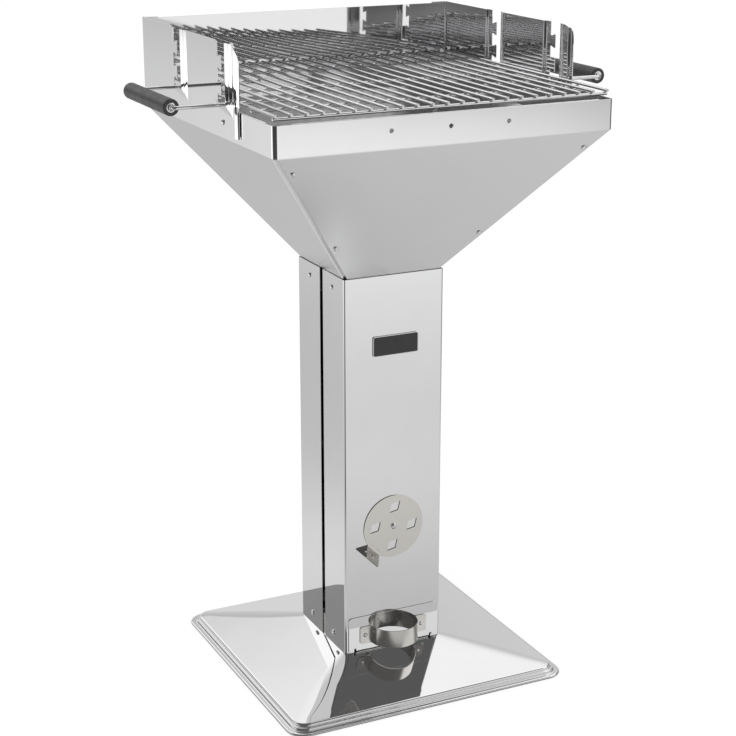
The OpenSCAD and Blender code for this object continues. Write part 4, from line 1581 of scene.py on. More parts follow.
@dataclass
class ScrewPlan:
    """Where the grill's screws sit, worked out from the tray, the column and the walls."""

    column: Column
    funnel: Funnel
    wind: Windshield
    side_spread: float = mm(72)
    column_edge: float = mm(18)
    hip_in: float = mm(13.5)
    hip_rises: Point2 = (mm(54), mm(176))
    band_drop: float = mm(20)
    band_ys: Point2 = (mm(-70), mm(130))
    rear_spread: float = mm(240)
    corner_in: float = mm(13.5)
    corner_rise: float = mm(9)
    corner_drop: float = mm(21.5)
    base_grip: float = mm(2.4)
    top_grip: float = mm(2.2)
    hip_grip: float = mm(2.15)
    wind_grip: float = mm(2.1)
    hip_lift: float = mm(0.1)
    tail: float = mm(5)

    def column_side(self, z: float) -> Places:
        """Gives the four screws at one height of the column."""
        x, y = self.column.half, self.side_spread / 2
        return [(Vector((s * x, e * y, z)), Vector((s, 0, 0))) for s in (-1, 1) for e in (-1, 1)]

    def hips(self) -> Places:
        """Gives the eight screws along the hips.

        Returns:
            The screws' seats and the ways that they point.
        """
        f = self.funnel
        run = f.half_d - f.neck_d
        lean = math.atan2(run, f.funnel_h)
        out = []
        for m in (-1, 1):
            way = Vector((0, m * math.cos(lean), -math.sin(lean)))
            for rise in self.hip_rises:
                w = f.neck_w + rise * (f.half_w - f.neck_w) / f.funnel_h - self.hip_in
                d = f.neck_d + rise * run / f.funnel_h
                out += [(Vector((s * w, m * d, f.neck_z + rise)), way) for s in (-1, 1)]
        return out

    def wind_screws(self) -> Places:
        """Gives the ten screws of the windshield.

        Returns:
            The screws' seats and the ways that they point.
        """
        w, f = self.wind, self.funnel
        band_z = f.rim_top - self.band_drop
        back = Vector((0, 1, 0))
        out = []
        for s in (-1, 1):
            x = s * (w.face_x + w.sheet)
            out += [(Vector((x, y, band_z)), Vector((s, 0, 0))) for y in self.band_ys]
            corner = s * (f.half_w - self.corner_in)
            corner_zs = (f.rim_top + self.corner_rise, w.top - self.corner_drop)
            out += [(Vector((corner, w.back, z)), back) for z in corner_zs]
            out.append((Vector((s * self.rear_spread / 2, w.rear_high.y, band_z)), back))
        return out

    def group(self, name: str, part: str, places: Places, grip: float, lift: float = 0.0) -> None:
        """Builds one group of screws and their nuts.

        Args:
            name: The name of the group's pieces.
            part: The start of the names of its two nodes.
            places: The screws' seats and the ways that they point.
            grip: Thickness of the sheets that they hold.
            lift: Extra gap between the sheets and the nuts.
        """
        kit, screws, nuts = Fasteners(), bmesh.new(), bmesh.new()
        for at, way in places:
            kit.screw(screws, along(way, at), grip + self.tail)
            kit.nut(nuts, along(way, at - way * (grip + kit.nut_h + lift)))
        Workshop.piece(name + "_screws", screws, Finishes.FASTENER, part + "_bolts", sharp_deg=ROUND_DEG)
        Workshop.piece(name + "_hex_nuts", nuts, Finishes.FASTENER, part + "_nuts", sharp_deg=28)

    def build(self) -> None:
        """Builds every group of screws and nuts."""
        base = self.column_side(self.column.bottom + self.column_edge)
        top = self.column_side(self.column.top - self.column_edge)
        self.group("column_base", "column_base", base, self.base_grip)
        self.group("column_top", "column_top", top, self.top_grip)
        self.group("funnel_hip", "funnel", self.hips(), self.hip_grip, self.hip_lift)
        self.group("windshield", "windshield", self.wind_screws(), self.wind_grip)


@dataclass
class CookingGrate:
    """The lift-out grate: welded bars on cross rods and two U-shaped handle wires with grips."""

    bar_count: int = 23
    bar_r: float = mm(2)
    rod_r: float = mm(2.25)
    rod_in: float = mm(5)
    rod_spread: float = mm(300)
    wire_r: float = mm(2.5)
    wire_sides: int = 20
    bend_r: float = mm(5)
    lift_max: float = 0.12
    sway_max: float = 0.25
    weld_slip: float = 0.1
    weld_wide: float = 0.85
    rod_weld: Point2 = (0.8, mm(0.75))
    wire_weld: Point2 = (0.7, mm(0.7))
    path_steps: int = 8
    seed: int = 7

    def __post_init__(self) -> None:
        """Takes the grate's size from the frame."""
        self.bar_low, self.bar_high = low_high("grate_bars")
        self.bar_z = (self.bar_low.z + self.bar_high.z) / 2
        low, high = low_high("grate_cross_rods")
        self.rod_end = high.x
        self.rod_z = (low.z + high.z) / 2
        low, high = low_high("handle_wire_right")
        self.arm_start = low.x
        self.grip_x = high.x - self.wire_r
        self.arm_ys = (low.y + self.wire_r, high.y - self.wire_r)
        self.arm_z = (low.z + high.z) / 2

    def bar_xs(self) -> list[float]:
        """Gives the bars' places from left to right."""
        first = self.bar_low.x + self.bar_r
        return even(first, -first, self.bar_count)

    def rod_ys(self) -> list[float]:
        """Gives the cross rods' places from front to back."""
        end = self.bar_high.y - self.rod_in
        return [-end, -self.rod_spread / 2, 0.0, self.rod_spread / 2, end]

    def straight(self, bm: Mesh, start: Point3, end: Point3, radius: float, dice: random.Random) -> None:
        """Adds a straight wire whose middle is off by a hair, as cut and welded wire is.

        Args:
            bm: The mesh to add to.
            start: Where it starts.
            end: Where it ends.
            radius: The wire's radius.
            dice: The source of its small errors.
        """
        lift = dice.uniform(-self.lift_max, self.lift_max) * MM
        sway = dice.uniform(-self.sway_max, self.sway_max) * MM
        a, b, up = Vector(start), Vector(end), Vector((0, 0, 1))
        cross = (b - a).normalized().cross(up)
        path = []
        for i in range(self.path_steps + 1):
            share = i / self.path_steps
            bow = math.sin(math.pi * share)
            path.append(a.lerp(b, share) + cross * sway * bow + up * (lift * bow / 2))
        add_wire(bm, path, radius)

    def build(self) -> None:
        """Builds the grate, its handles and its grips."""
        dice = random.Random(self.seed)
        xs = self.bar_xs()
        bars, rods = bmesh.new(), bmesh.new()
        for x in xs:
            ends = [(x, y, self.bar_z) for y in (self.bar_low.y, self.bar_high.y)]
            self.straight(bars, *ends, self.bar_r, dice)
        for y in self.rod_ys():
            ends = [(x, y, self.rod_z) for x in (-self.rod_end, self.rod_end)]
            self.straight(rods, *ends, self.rod_r, dice)
        along_rod, high = self.rod_weld
        size = (self.bar_r * self.weld_wide, self.rod_r * along_rod, high)
        for y in self.rod_ys():
            for x in xs:
                slip = dice.uniform(-self.weld_slip, self.weld_slip) * MM
                add_bulge(rods, Vector((x, y, self.bar_z - self.bar_r + slip)), size)
        look = {"finish": Finishes.WIRE, "body": Body.GRATE, "sharp_deg": ROUND_DEG}
        Workshop.piece("grate_bar_set", bars, node="grate_bars", **look)
        Workshop.piece("grate_rod_set", rods, node="grate_cross_rods", **look)
        for side in Side:
            wire = self.handle(side)
            Workshop.piece("handle_wire_bent_" + side.word, wire, node="handle_wire_" + side.word, **look)
            Grip(self.grip_x, self.arm_z, self.wire_r).build(side)

    def handle(self, side: Side) -> Mesh:
        """Builds one handle wire with its welds.

        Args:
            side: Left or right.

        Returns:
            The wire's mesh.
        """
        front, back = self.arm_ys
        corners = [(self.arm_start, front), (self.grip_x, front), (self.grip_x, back), (self.arm_start, back)]
        line = filleted(corners, [self.bend_r] * 2, 10)
        path = [Vector((side.value * x, y, self.arm_z)) for x, y in line]
        bm = made(add_wire, path, self.wire_r, self.wire_sides)
        along_wire, high = self.wire_weld
        size = (self.bar_r * self.weld_wide, self.wire_r * along_wire, high)
        for x in self.bar_xs():
            if side.value * x > self.arm_start + self.bar_r:
                for y in self.arm_ys:
                    add_bulge(bm, Vector((x, y, self.arm_z + self.wire_r)), size)
        return bm


@dataclass
class Grip:
    """The black grip that turns on a handle wire, with a light ring in each end."""

    x: float
    z: float
    wire_r: float
    radius: float = mm(10.7)
    bore_gap: float = mm(0.06)
    ring_r: float = mm(6.4)
    ring_gap: float = mm(0.1)
    deep: float = mm(2)
    soft: float = mm(1.6)
    chamfer: float = mm(0.3)
    seam: Point2 = (mm(0.08), mm(0.25))
    seam_half: float = mm(0.6)
    ring_in: float = mm(0.25)
    ring_line: tuple[Point2, ...] = tuple(mm_line(
        (2.56, -1.2), (6.4, -1.6), (6.4, -0.4), (5.9, 0),
        (4.9, 0.05), (4.3, -0.5), (2.96, -0.75), (2.56, -0.9),
    ))
    sharp_deg: float = 40.0

    def build(self, side: Side) -> None:
        """Builds the sleeve and its end rings.

        Args:
            side: Left or right.
        """
        body = Body.LEFT_GRIP if side is Side.LEFT else Body.RIGHT_GRIP
        low, high = low_high("grip_" + side.word)
        half = (high.y - low.y) / 2
        place = upright_at(side.value * self.x, (high.y + low.y) / 2, self.z)
        look = {"body": body, "sharp_deg": self.sharp_deg}
        sleeve = made(add_lathe, self.sleeve(half), place, 48, closed=True)
        Workshop.piece("grip_sleeve_" + side.word, sleeve, Finishes.GRIP, "grip_" + side.word, **look)
        rings = bmesh.new()
        for sign in (-1, 1):
            section = [(r, sign * (half - self.ring_in + z)) for r, z in self.ring_line]
            add_lathe(rings, section, place, 36, closed=True)
        node = "grip_ferrules_" + side.word
        Workshop.piece("grip_end_rings_" + side.word, rings, Finishes.FASTENER, node, **look)

    def sleeve(self, half: float) -> list[Point2]:
        """Gives the sleeve's closed section, with a recess in each end and a faint seam in its middle.

        Args:
            half: Half the grip's length.

        Returns:
            Points of radius and place along the grip.
        """
        bore, outer, soft, chamfer = self.wire_r + self.bore_gap, self.radius, self.soft, self.chamfer
        recess = self.ring_r + self.ring_gap
        end = [(bore, half - self.deep), (recess, half - self.deep), (recess, half - chamfer)]
        end += [(recess + chamfer, half), *arc((outer - soft, half - soft), soft, 90, 0, 6)]
        bulge, near = self.seam
        end += [(outer, self.seam_half), (outer + bulge, near)]
        return end + [(r, -z) for r, z in reversed(end)]


@dataclass
class CharcoalGrate:
    """The wire grate that carries the charcoal inside the funnel."""

    wire_r: float = mm(2.5)
    bar_r: float = mm(2)
    bar_sides: int = 14
    corner_r: float = mm(34)
    bar_count: int = 15
    weld_at: float = 0.995
    weld_wide: float = 0.8
    weld_size: Point2 = (mm(2), mm(0.8))
    look = {"finish": Finishes.COAL_WIRE, "body": Body.COAL, "sharp_deg": ROUND_DEG}

    def frame(self) -> None:
        """Builds the frame: a round wire bent into a closed flat loop."""
        low, high = low_high("charcoal_grate_frame")
        outline = round_box(high.x - self.wire_r, high.y - self.wire_r, self.corner_r, 12)
        path = [Vector((x, y, (low.z + high.z) / 2)) for x, y in outline]
        loop, rings, up = bmesh.new(), [], Vector((0, 0, 1))
        for i, point in enumerate(path):
            tangent = (path[(i + 1) % len(path)] - path[i - 1]).normalized()
            rings.append(ring_round(loop, point, tangent.cross(up).normalized(), up, self.wire_r, 16))
        skin(loop, [*rings, rings[0]], flip=True)
        Workshop.piece("charcoal_frame_loop", loop, node="charcoal_grate_frame", **self.look)

    def bars(self) -> None:
        """Builds the bars with their welds."""
        low, high = low_high("charcoal_grate_bars")
        z, last = (low.z + high.z) / 2, high.x - self.bar_r
        bars = bmesh.new()
        for x in even(-last, last, self.bar_count):
            add_wire(bars, [Vector((x, y, z)) for y in (low.y, 0, high.y)], self.bar_r, self.bar_sides)
            for y in (low.y, high.y):
                at = Vector((x, y * self.weld_at, z - self.bar_r))
                add_bulge(bars, at, (self.bar_r * self.weld_wide, *self.weld_size))
        Workshop.piece("charcoal_bar_set", bars, node="charcoal_grate_bars", **self.look)

    def build(self) -> None:
        """Builds the frame and the bars."""
        self.frame()
        self.bars()


@dataclass
class AshDrawer:
    """The ash drawer: pan, front flap, half-ring strap and its two rivets."""

    sheet: float = mm(1)
    pan_r: float = mm(2)
    flap_r: float = mm(5)
    flap_edge: float = mm(0.3)
    notch_x: Point2 = (mm(58.5), mm(62))
    notch_h: float = mm(3.6)
    strap_sheet: float = mm(1.2)
    strap_edge: float = mm(0.25)
    strap_rows: int = 8
    ring_r: float = mm(35.2)
    ring_bend: float = mm(2)
    ring_gap_deg: float = 3.0
    strap_h: float = mm(26)
    tab_w: float = mm(17.5)
    tab_clip: float = mm(3.5)
    rivet_x: float = mm(44.5)

    def build(self, kit: Fasteners) -> None:
        """Builds the drawer's pieces.

        Args:
            kit: The fasteners' shapes.
        """
        low, high = low_high("drawer_front")
        handle_low, handle_high = low_high("drawer_handle")
        mid_z = (handle_low.z + handle_high.z) / 2
        body = Body.DRAWER
        Workshop.piece("ash_pan_tray", self.pan(*low_high("ash_pan")), Finishes.SATIN, "ash_pan", body)
        outline = self.flap(high.x, high.z - low.z)
        flap = made(add_outline, [outline], high.y - low.y, upright_at(0, high.y, low.z), self.flap_edge)
        Workshop.piece("drawer_flap", flap, Finishes.SHEET, "drawer_front", body)
        strap = self.strap(low.y, mid_z)
        Workshop.piece(
            "drawer_half_ring", strap, Finishes.SATIN, "drawer_handle", body, edge=self.strap_edge
        )
        rivets = bmesh.new()
        for s in (-1, 1):
            at = facing_front(s * self.rivet_x, low.y - self.strap_sheet, mid_z)
            kit.rivet(rivets, at, self.strap_sheet + 2 * self.sheet)
        Workshop.piece(
            "drawer_pop_rivets", rivets, Finishes.FASTENER, "drawer_rivets", body, sharp_deg=ROUND_DEG
        )

    def flap(self, half: float, tall: float) -> list[Point2]:
        """Gives the flap's outline, with a notch near each lower corner.

        Args:
            half: Half its width.
            tall: Its height.

        Returns:
            The closed outline.
        """
        near, far = self.notch_x
        notch = [(near, 0.0), (near, self.notch_h), (far, self.notch_h), (far, 0.0)]
        base = [(-half, 0.0)] + [(-x, z) for x, z in reversed(notch)] + notch + [(half, 0.0)]
        return base + round_top(half, tall, self.flap_r)

    def pan(self, low: Vector, high: Vector) -> Mesh:
        """Builds the open pan with bent corners.

        Args:
            low: Its lowest corner.
            high: Its highest corner.

        Returns:
            The pan's mesh.
        """
        t, r = self.sheet, self.pan_r
        half_w, half_d = high.x, (high.y - low.y) / 2
        middle = (high.y + low.y) / 2
        turns = [QUARTER * k / 4 for k in range(5)]
        bends = [(r * (1 - math.cos(a)), low.z + r * (1 - math.sin(a))) for a in turns]
        outer: Grid = []
        inner: Grid = []
        for in_, z in [(0.0, high.z), *bends]:
            for rows, gap in ((outer, 0.0), (inner, t)):
                level = max(z, low.z + gap)
                ring = round_box(half_w - gap - in_, half_d - gap - in_, r - gap, 5)
                rows.append([Vector((x, y + middle, level)) for x, y in ring])
        bm = bmesh.new()
        a = add_grid(bm, outer, True)
        b = add_grid(bm, inner, True, flip=True)
        skin(bm, [a[0], b[0]])
        bm.faces.new(a[-1])
        bm.faces.new(b[-1])
        return bm

    def strap(self, face_y: float, mid_z: float) -> Mesh:
        """Builds the strap: one sheet that bends from a tab into the half ring and back.

        Args:
            face_y: Where the flap's face is.
            mid_z: Height of the strap's middle.

        Returns:
            The strap's mesh.
        """
        half = self.strap_h / 2
        mid_r = self.ring_r - self.strap_sheet / 2
        y = face_y - self.strap_sheet / 2
        ring = arc((0, y), mid_r, 180 + self.ring_gap_deg, 360 - self.ring_gap_deg, 40)
        end = self.ring_r + self.tab_w
        ease = [self.tab_clip * (1 - math.cos(QUARTER * k / 8)) for k in range(9)]
        left = [(-end + ahead, y) for ahead in ease] + [(-mid_r - self.ring_bend, y)]
        line = left + ring + [(-x, y) for x, y in reversed(left)]
        surfaces = []
        for shift in both_faces(self.strap_sheet)[::-1]:
            spots = [(x, y, round_end(half, end - abs(x), self.tab_clip)) for x, y in shifted(line, shift)]
            shares = even(-1.0, 1.0, self.strap_rows + 1)
            rows = [[Vector((x, y, mid_z + share * reach)) for x, y, reach in spots] for share in shares]
            surfaces.append(rows)
        return made(add_sheet, *surfaces)


@dataclass
class Damper:
    """The air damper: a disc with four air holes and a bent tab, turning on its screw."""

    sheet: float = mm(1)
    edge_r: float = mm(0.2)
    radius: float = mm(46)
    pivot_r: float = mm(2.06)
    face_gap: float = mm(0.3)
    tab_w: float = mm(25.7)
    tab_len: float = mm(22)
    tab_lap: float = mm(5)
    tab_bend: float = 50.0
    tab_bend_r: float = mm(1.5)
    tab_side: float = 225.0
    tab_fold: float = mm(44.4)
    tab_soft: float = mm(2)
    tab_fill: float = 0.55
    fold_gap: float = mm(0.8)
    tab_hole_r: float = mm(2.6)
    hole_room: float = mm(4)
    hole_turn: float = -4.0
    head_h: float = mm(2.3)
    washer_gap: float = mm(0.5)
    cross_half: Point2 = (mm(2.3), mm(0.45))
    cross_deep: float = mm(1.2)
    cross_cut: Point2 = (mm(3), mm(0.05))

    def __post_init__(self) -> None:
        """Takes the damper's place from the frame."""
        low, high = low_high("damper_washer")
        self.z = (low.z + high.z) / 2
        self.washer_y = high.y
        self.face_y = low_high("column_front")[0].y - self.face_gap

    def build(self, column: Column) -> None:
        """Builds the disc, the washer, the screw and the nut.

        Args:
            column: The column, whose air holes it shares.
        """
        place = upright_at(0, self.face_y, self.z)
        pivot = arc((0, 0), self.pivot_r, 0, 360, 24)[:-1]
        outlines = [self.rim(), pivot, *column.air_holes(self.hole_turn)]
        bm = made(add_outline, outlines, self.sheet, place, self.edge_r)
        self.tab(bm, place @ Matrix.Rotation(math.radians(self.tab_side), 4, "Z"))
        Workshop.piece("damper_plate", bm, Finishes.SATIN, "damper_disc", Body.DAMPER)
        self.screw()
        ring = mm_line((4.8, 0), (5, 0.12), (5, 0.38), (4.8, 0.5))
        ring = [(self.pivot_r, 0), *ring, (self.pivot_r, self.washer_gap)]
        washer = made(add_lathe, ring, facing_front(0, self.washer_y, self.z), 36, closed=True)
        Workshop.piece("damper_flat_washer", washer, Finishes.FASTENER, "damper_washer")
        Workshop.dress_node("damper_nut", Finishes.FASTENER)

    def rim(self) -> list[Point2]:
        """Gives the disc's outline, cut straight where the tab bends out.

        Returns:
            The closed outline.
        """
        side, flat = math.radians(self.tab_side), self.tab_fold - self.fold_gap
        out = []
        for point in arc((0, 0), self.radius, 0, 360, 96)[:-1]:
            turned = Matrix.Rotation(-side, 2) @ Vector(point)
            turned.x = min(turned.x, flat)
            out.append(tuple(Matrix.Rotation(side, 2) @ turned))
        return out

    def tab(self, bm: Mesh, turn: Matrix) -> None:
        """Adds the tab, bent out of the disc, with its hole.

        Args:
            bm: The mesh to add to.
            turn: Where the tab goes, along local +X.
        """
        bend, t, half, hole_r = math.radians(self.tab_bend), self.sheet, self.tab_w / 2, self.tab_hole_r
        elbow = (self.tab_fold + t / 2 * math.tan(bend / 2), t / 2)
        tip = (elbow[0] + self.tab_len * math.cos(bend), elbow[1] + self.tab_len * math.sin(bend))
        line = filleted([(self.tab_fold - self.tab_lap, t / 2), elbow, tip], [self.tab_bend_r])
        length = self.walked(line)[-1]
        centre = length - self.tab_len / 2
        surfaces: list[Grid] = [[], []]
        for s in self.tab_marks(line, centre):
            (u, z), n = self.point_at(line, s)
            reach = round_end(half, length - s, self.tab_soft)
            fill = half * self.tab_fill
            ys = (-reach, -fill, -hole_r, hole_r, fill, reach)
            for shift, rows in zip(both_faces(t), surfaces):
                rows.append([turn @ Vector((u + n.x * shift, y, z + n.y * shift)) for y in ys])
        (u, z), n = self.point_at(line, centre)
        room = self.hole_room
        axis = along(Vector((n.x, 0, n.y)), Vector((u - n.x * room, 0, z - n.y * room)))
        pin = [(0, 0), (hole_r, 0), (hole_r, 2 * room), (0, 2 * room)]
        hole = made(add_lathe, pin, turn @ axis, 24)
        part = Workshop.shaped("tab", made(add_sheet, *surfaces), self.edge_r, [hole])
        bm.from_mesh(part.data)
        bpy.data.meshes.remove(part.data)

    def walked(self, line: Line) -> list[float]:
        """Gives the distance of each point along a line."""
        steps = [(Vector(b) - Vector(a)).length for a, b in zip(line, line[1:])]
        return [sum(steps[:i]) for i in range(len(line))]

    def point_at(self, line: Line, distance: float) -> tuple[Point2, Vector]:
        """Gives the point and the normal at a distance along a line.

        Args:
            line: The line.
            distance: The distance from its start.

        Returns:
            The point and the normal.
        """
        walked = self.walked(line)
        i = next((i for i, end in enumerate(walked[1:]) if end >= distance), len(line) - 2)
        a, b = Vector(line[i]), Vector(line[i + 1])
        way = (b - a).normalized()
        point = a.lerp(b, min((distance - walked[i]) / (b - a).length, 1.0))
        return (point.x, point.y), Vector((-way.y, way.x))

    def tab_marks(self, line: Line, centre: float) -> list[float]:
        """Gives the rows of the tab: at the bend's points and close together at its rounded tip.

        Args:
            line: The middle line of its section.
            centre: The hole's distance along the line.

        Returns:
            The rows' distances along the line.
        """
        *marks, total = self.walked(line)
        marks += [centre - self.hole_room, centre + self.hole_room]
        marks += [total - self.tab_soft * (1 - math.sin(QUARTER * k / 6)) for k in range(7)]
        return sorted({round(mark, 7) for mark in marks})

    def screw(self) -> None:
        """Builds the pan-head screw with its cross recess."""
        low, high = low_high("damper_screw")
        h = self.head_h
        seat = low.y + h
        place = facing_front(0, seat, self.z)
        head = mm_line((0, 2.3), (1.8, 2.18), (3, 1.85), (3.8, 1.3), (4.2, 0.7), (4.2, 0.1), (4.1, 0), (2, 0))
        end = seat - high.y
        bm = made(add_lathe, head + [(head[-1][0], end), (0, end)], place)
        x, y = self.cross_half
        deep, soft = self.cross_cut
        slot = [(-x, -y), (x, -y), (x, y), (-x, y)]
        recess = Matrix.Translation((0, 0, h - self.cross_deep))
        turns = [Matrix.Rotation(math.radians(a), 4, "Z") @ recess for a in (45, 135)]
        cuts = [made(add_outline, [slot], deep, place @ turn, soft) for turn in turns]
        Workshop.piece("damper_pan_screw", bm, Finishes.FASTENER, "damper_screw", cuts=cuts)


@dataclass
class NamePlate:
    """The bare plate on the column: a black field in a raised silver rim."""

    rim_w: float = mm(1.4)
    corner_r: float = mm(3)
    rim_soft: float = mm(0.45)
    field_soft: float = mm(0.15)

    def build(self) -> None:
        """Builds the field and the rim."""
        low, high = low_high("name_plate_rim")
        half_w, half_h = (high.x - low.x) / 2, (high.z - low.z) / 2
        place = upright_at((low.x + high.x) / 2, high.y, (low.z + high.z) / 2)
        inner = round_box(half_w - self.rim_w, half_h - self.rim_w, self.corner_r - self.rim_w)
        outer = round_box(half_w, half_h, self.corner_r)
        rim = made(add_outline, [outer, inner], high.y - low.y, place, self.rim_soft)
        Workshop.piece("plate_raised_rim", rim, Finishes.RIM, "name_plate_rim")
        low, high = low_high("name_plate")
        field = made(add_outline, [inner], high.y - low.y, place, self.field_soft)
        Workshop.piece("plate_bare_field", field, Finishes.PLATE, "name_plate")


@dataclass(frozen=True)
class Pool:
    """A soft pool of light or shade on the floor: its middle, its spread and its strength."""

    centre: Point2
    size: Point2
    height: float


@dataclass(frozen=True)
class Patch:
    """A soft round patch of the surround: its direction, the cosines of its edges and its level."""

    way: Point3
    edge: Point2
    level: float


@dataclass
class Studio:
    """The pale floor, the soft light round the grill and the camera at the photograph's angle."""

    target: Point3 = (-0.0028, 0.0, 0.4321)
    azimuth: float = -25.944
    elevation: float = 17.699
    distance: float = 2.4483
    lens: float = 85.3
    sensor: float = 36.0
    view_end: float = 100.0
    floor_size: float = 24.0
    floor_at: Point3 = (0.0, 5.0, mm(-0.05))
    floor_tone: float = 0.54
    seen_tone: float = 0.3
    seen_glow: float = 0.72
    # Painted shade on the floor toward the camera's side, seen by every ray but the camera's: its tone, the
    # turns of its two soft edges and the reach where it fades in
    wedge_shade_tone: float = 0.05
    wedge_right: Point2 = (-0.34, -0.14)
    wedge_left: Point2 = (-1.35, -1.05)
    wedge_near: Point2 = (0.35, 0.8)
    # Painted shade on the floor far out on the front right, seen by every ray but the camera's: its depth,
    # the turns where it fades in and out, and the reach where it fades in
    fall_shade_depth: float = 0.8
    fall_from: Point2 = (0.55, 1.0)
    fall_until: Point2 = (1.6, 2.1)
    fall_near: Point2 = (0.9, 1.6)
    # Painted contact shadow on the floor along the foot's edge, seen by every ray but the camera's: its band
    # and its tone
    contact_shadow_band: Point2 = (mm(1), mm(9))
    contact_shadow_tone: float = 0.2
    pools: tuple[Pool, ...] = (
        Pool((1.25, -3.7), (1.35, 1.9), 0.5),
        Pool((-0.2, 0.3), (0.2, 0.3), 0.2),
        Pool((0.15, -0.15), (0.3, 0.25), -0.04),
        Pool((-0.4, 1.8), (0.8, 0.7), -0.08),
        Pool((-3.3, 1.3), (1.1, 1.6), 1.0),
        Pool((-5.2, 3.4), (1.3, 1.4), 1.3),
        Pool((-1.5, 5.5), (3.0, 2.5), 0.15),
        Pool((0.3, -0.7), (0.22, 0.3), 0.07),
    )
    low_from: Point2 = (0.1, 0.4)
    low_dim: Point2 = (0.22, 0.4)
    low_until: Point2 = (0.44, 0.58)
    low_left: float = 0.05
    low_back: Point2 = (0.3, 0.8)
    high_from: Point2 = (0.5, 0.9)
    high_gain: float = 0.2
    left_band: Point2 = (-0.2, 0.08)
    left_level: float = 0.75
    patches: tuple[Patch, ...] = (
        Patch((-0.3, -0.68, 0.67), (0.6, 0.7), 0.14),
        Patch((-0.62, -0.5, 0.6), (0.62, 0.74), 0.12),
        Patch((-0.5, 0.86, 0.06), (0.955, 0.975), 0.35),
        Patch((0.95, 0.21, 0.21), (0.87, 0.93), 0.3),
        Patch((-0.25, 0.86, 0.44), (0.96, 0.985), 1.35),
    )
    lamp_power: float = 18.0
    lamp_size: Point2 = (2.2, 1.6)
    lamp_at: Point3 = (-1.6, -1.5, 2.6)
    lamp_to: Point3 = (0.0, 0.0, 0.5)

    def camera(self) -> None:
        """Places the camera."""
        data = bpy.data.cameras.new("photo_camera")
        data.lens = self.lens
        data.sensor_width = self.sensor
        data.clip_end = self.view_end
        camera = bpy.data.objects.new("photo_camera", data)
        bpy.context.scene.collection.objects.link(camera)
        az, el = math.radians(self.azimuth), math.radians(self.elevation)
        way = Vector((math.sin(-az) * math.cos(el), math.cos(az) * math.cos(el), -math.sin(el)))
        camera.location = Vector(self.target) - way * self.distance
        camera.rotation_euler = way.to_track_quat("-Z", "Y").to_euler()
        bpy.context.scene.camera = camera

    def floor(self) -> None:
        """Lays the pale floor: white to the eye, and with painted shade toward the camera's side in
        reflections.
        """
        bm = bmesh.new()
        bmesh.ops.create_grid(bm, x_segments=8, y_segments=8, size=self.floor_size / 2)
        floor = Workshop.holder("floor", bm)
        floor.location = self.floor_at
        material = bpy.data.materials.new("pale_floor")
        material.use_nodes = True
        nodes = Nodes(material.node_tree)
        material.node_tree.nodes.clear()
        out = nodes.add("ShaderNodeOutputMaterial")
        path = nodes.add("ShaderNodeLightPath").outputs
        where = nodes.add("ShaderNodeNewGeometry").outputs["Position"]
        seen = self.glowing(nodes, (self.seen_tone,) * 3 + (1.0,), self.seen_glow)
        other = self.glowing(nodes, self.tone(nodes, where), self.glow(nodes, where))
        mix = nodes.ordered(nodes.add("ShaderNodeMixShader"), (path["Is Camera Ray"], other, seen))
        nodes.fill(out, Surface=mix[0])
        floor.data.materials.append(material)

    def tone(self, nodes: Nodes, where: Socket) -> Socket:
        """Gives the floor's tone, with painted shade toward the camera, far out on the right and close to the
        foot.

        Args:
            nodes: The nodes to add to.
            where: The place on the floor.

        Returns:
            The tone at each place.
        """
        apart = nodes.split(where)
        turn = nodes.math("ARCTAN2", apart["X"], nodes.times(apart["Y"], -1.0))
        reach = nodes.vector("LENGTH", where)["Value"]
        # Painted shade toward the camera's side
        right, left = nodes.span(turn, self.wedge_right, (1.0, 0.0)), nodes.span(turn, self.wedge_left)
        wedge_shade = nodes.times(right, left, nodes.span(reach, self.wedge_near))
        tone = nodes.span(wedge_shade, (0.0, 1.0), (self.floor_tone, self.wedge_shade_tone))
        # Painted shade far out on the front right
        start = nodes.span(turn, self.fall_from, (0.0, self.fall_shade_depth))
        end = nodes.span(turn, self.fall_until, (1.0, 0.0))
        shade = nodes.times(start, nodes.span(reach, self.fall_near), end)
        # Painted contact shadow along the foot's edge
        sizes = zip("XY", low_high("foot")[1])
        beyond = [nodes.math("SUBTRACT", nodes.math("ABSOLUTE", apart[axis]), size) for axis, size in sizes]
        contact_shadow = nodes.span(nodes.math("MAXIMUM", *beyond), self.contact_shadow_band, (self.contact_shadow_tone, 1.0))
        return nodes.times(tone, contact_shadow, nodes.math("SUBTRACT", 1.0, shade))

    def glow(self, nodes: Nodes, where: Socket) -> Socket:
        """Gives the floor's extra light: the sum of its pools, never below nothing.

        Args:
            nodes: The nodes to add to.
            where: The place on the floor.

        Returns:
            The light at each place.
        """
        total: object = 0.0
        for pool in self.pools:
            offset = nodes.vector("SUBTRACT", where, (*pool.centre, 0.0))[0]
            scaled = nodes.vector("MULTIPLY", offset, (1 / pool.size[0], 1 / pool.size[1], 0.0))[0]
            square = nodes.math("POWER", nodes.vector("LENGTH", scaled)["Value"], 2.0)
            fall = nodes.math("EXPONENT", nodes.times(square, -0.5))
            total = nodes.math("ADD", total, nodes.times(fall, pool.height))
        return nodes.math("MAXIMUM", total, 0.0)

    def glowing(self, nodes: Nodes, tone: object, glow: object) -> Socket:
        """Adds a matt surface that also glows a little.

        Args:
            nodes: The nodes to add to.
            tone: Its colour.
            glow: The strength of its glow.

        Returns:
            Its shader.
        """
        matt = nodes.fill(nodes.add("ShaderNodeBsdfDiffuse"), Color=tone)[0]
        light = nodes.fill(nodes.add("ShaderNodeEmission"), Color=(1, 1, 1, 1), Strength=glow)[0]
        return nodes.ordered(nodes.add("ShaderNodeAddShader"), (matt, light))[0]

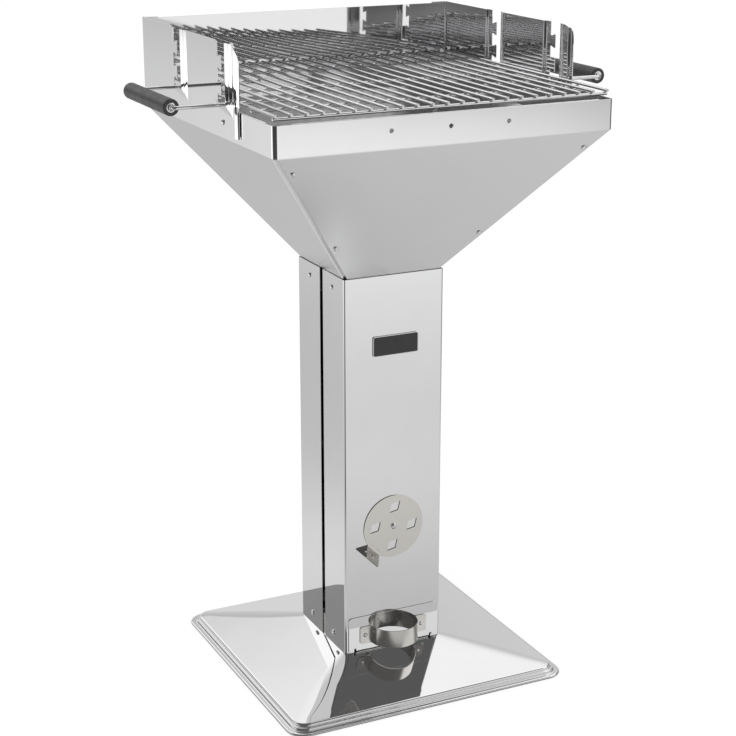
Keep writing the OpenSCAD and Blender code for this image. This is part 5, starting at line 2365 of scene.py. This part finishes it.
    def sky(self, nodes: Nodes, where: Socket) -> Socket:
        """Gives the surround's level in reflections: dimmer low at the back, with its soft patches.

        Args:
            nodes: The nodes to add to.
            where: The direction looked at.

        Returns:
            The level.
        """
        apart = nodes.split(where)
        dim = nodes.span(apart["Z"], self.low_from, self.low_dim)
        until = nodes.span(apart["Z"], self.low_until, (1.0, self.low_left))
        low = nodes.times(dim, until, nodes.span(apart["Y"], self.low_back))
        high = nodes.span(apart["Z"], self.high_from, (0.0, self.high_gain))
        light = nodes.math("ADD", nodes.math("SUBTRACT", 1.0, low), high)
        light = nodes.times(light, nodes.span(apart["X"], self.left_band, (self.left_level, 1.0)))
        for patch in self.patches:
            near = nodes.vector("DOT_PRODUCT", where, Vector(patch.way).normalized())["Value"]
            light = nodes.blend(nodes.span(near, patch.edge), light, patch.level, "FLOAT")
        return light

    def world(self) -> None:
        """Sets a white surround that reflections see as a studio, dark on the camera's side."""
        world = bpy.data.worlds.new("studio")
        bpy.context.scene.world = world
        world.use_nodes = True
        nodes = Nodes(world.node_tree)
        world.node_tree.nodes.clear()
        out = nodes.add("ShaderNodeOutputWorld")
        light = self.sky(nodes, nodes.add("ShaderNodeTexCoord").outputs["Generated"])
        path = nodes.add("ShaderNodeLightPath").outputs
        glossy = nodes.math("MAXIMUM", path["Is Glossy Ray"], path["Is Transmission Ray"])
        strength = nodes.blend(glossy, 1.0, light, "FLOAT")
        back = nodes.fill(nodes.add("ShaderNodeBackground"), Color=(1, 1, 1, 1), Strength=strength)
        nodes.fill(out, Surface=back[0])

    def lamp(self) -> None:
        """Hangs a large soft lamp above the front left."""
        data = bpy.data.lights.new("soft_key", "AREA")
        data.energy = self.lamp_power
        data.shape = "RECTANGLE"
        data.size, data.size_y = self.lamp_size
        lamp = bpy.data.objects.new("soft_key", data)
        bpy.context.scene.collection.objects.link(lamp)
        lamp.location = self.lamp_at
        lamp.rotation_euler = (Vector(self.lamp_to) - lamp.location).to_track_quat("-Z", "Y").to_euler()
        lamp.visible_glossy = False

    def build(self) -> None:
        """Sets up everything round the grill."""
        self.camera()
        self.floor()
        self.world()
        self.lamp()
        bpy.context.scene.view_settings.view_transform = "Standard"


def main() -> None:
    """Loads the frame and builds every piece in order."""
    logging.basicConfig(level=logging.INFO, format="%(name)s: %(message)s")
    FRAME.update(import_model())
    Studio().build()
    column = Column()
    funnel = Funnel()
    wind = Windshield()
    damper = Damper()
    Foot().build()
    column.build(damper.z)
    funnel.build()
    wind.build()
    ScrewPlan(column, funnel, wind).build()
    CookingGrate().build()
    CharcoalGrate().build()
    AshDrawer().build(Fasteners())
    damper.build(column)
    NamePlate().build()


if __name__ == "__main__":
    main()
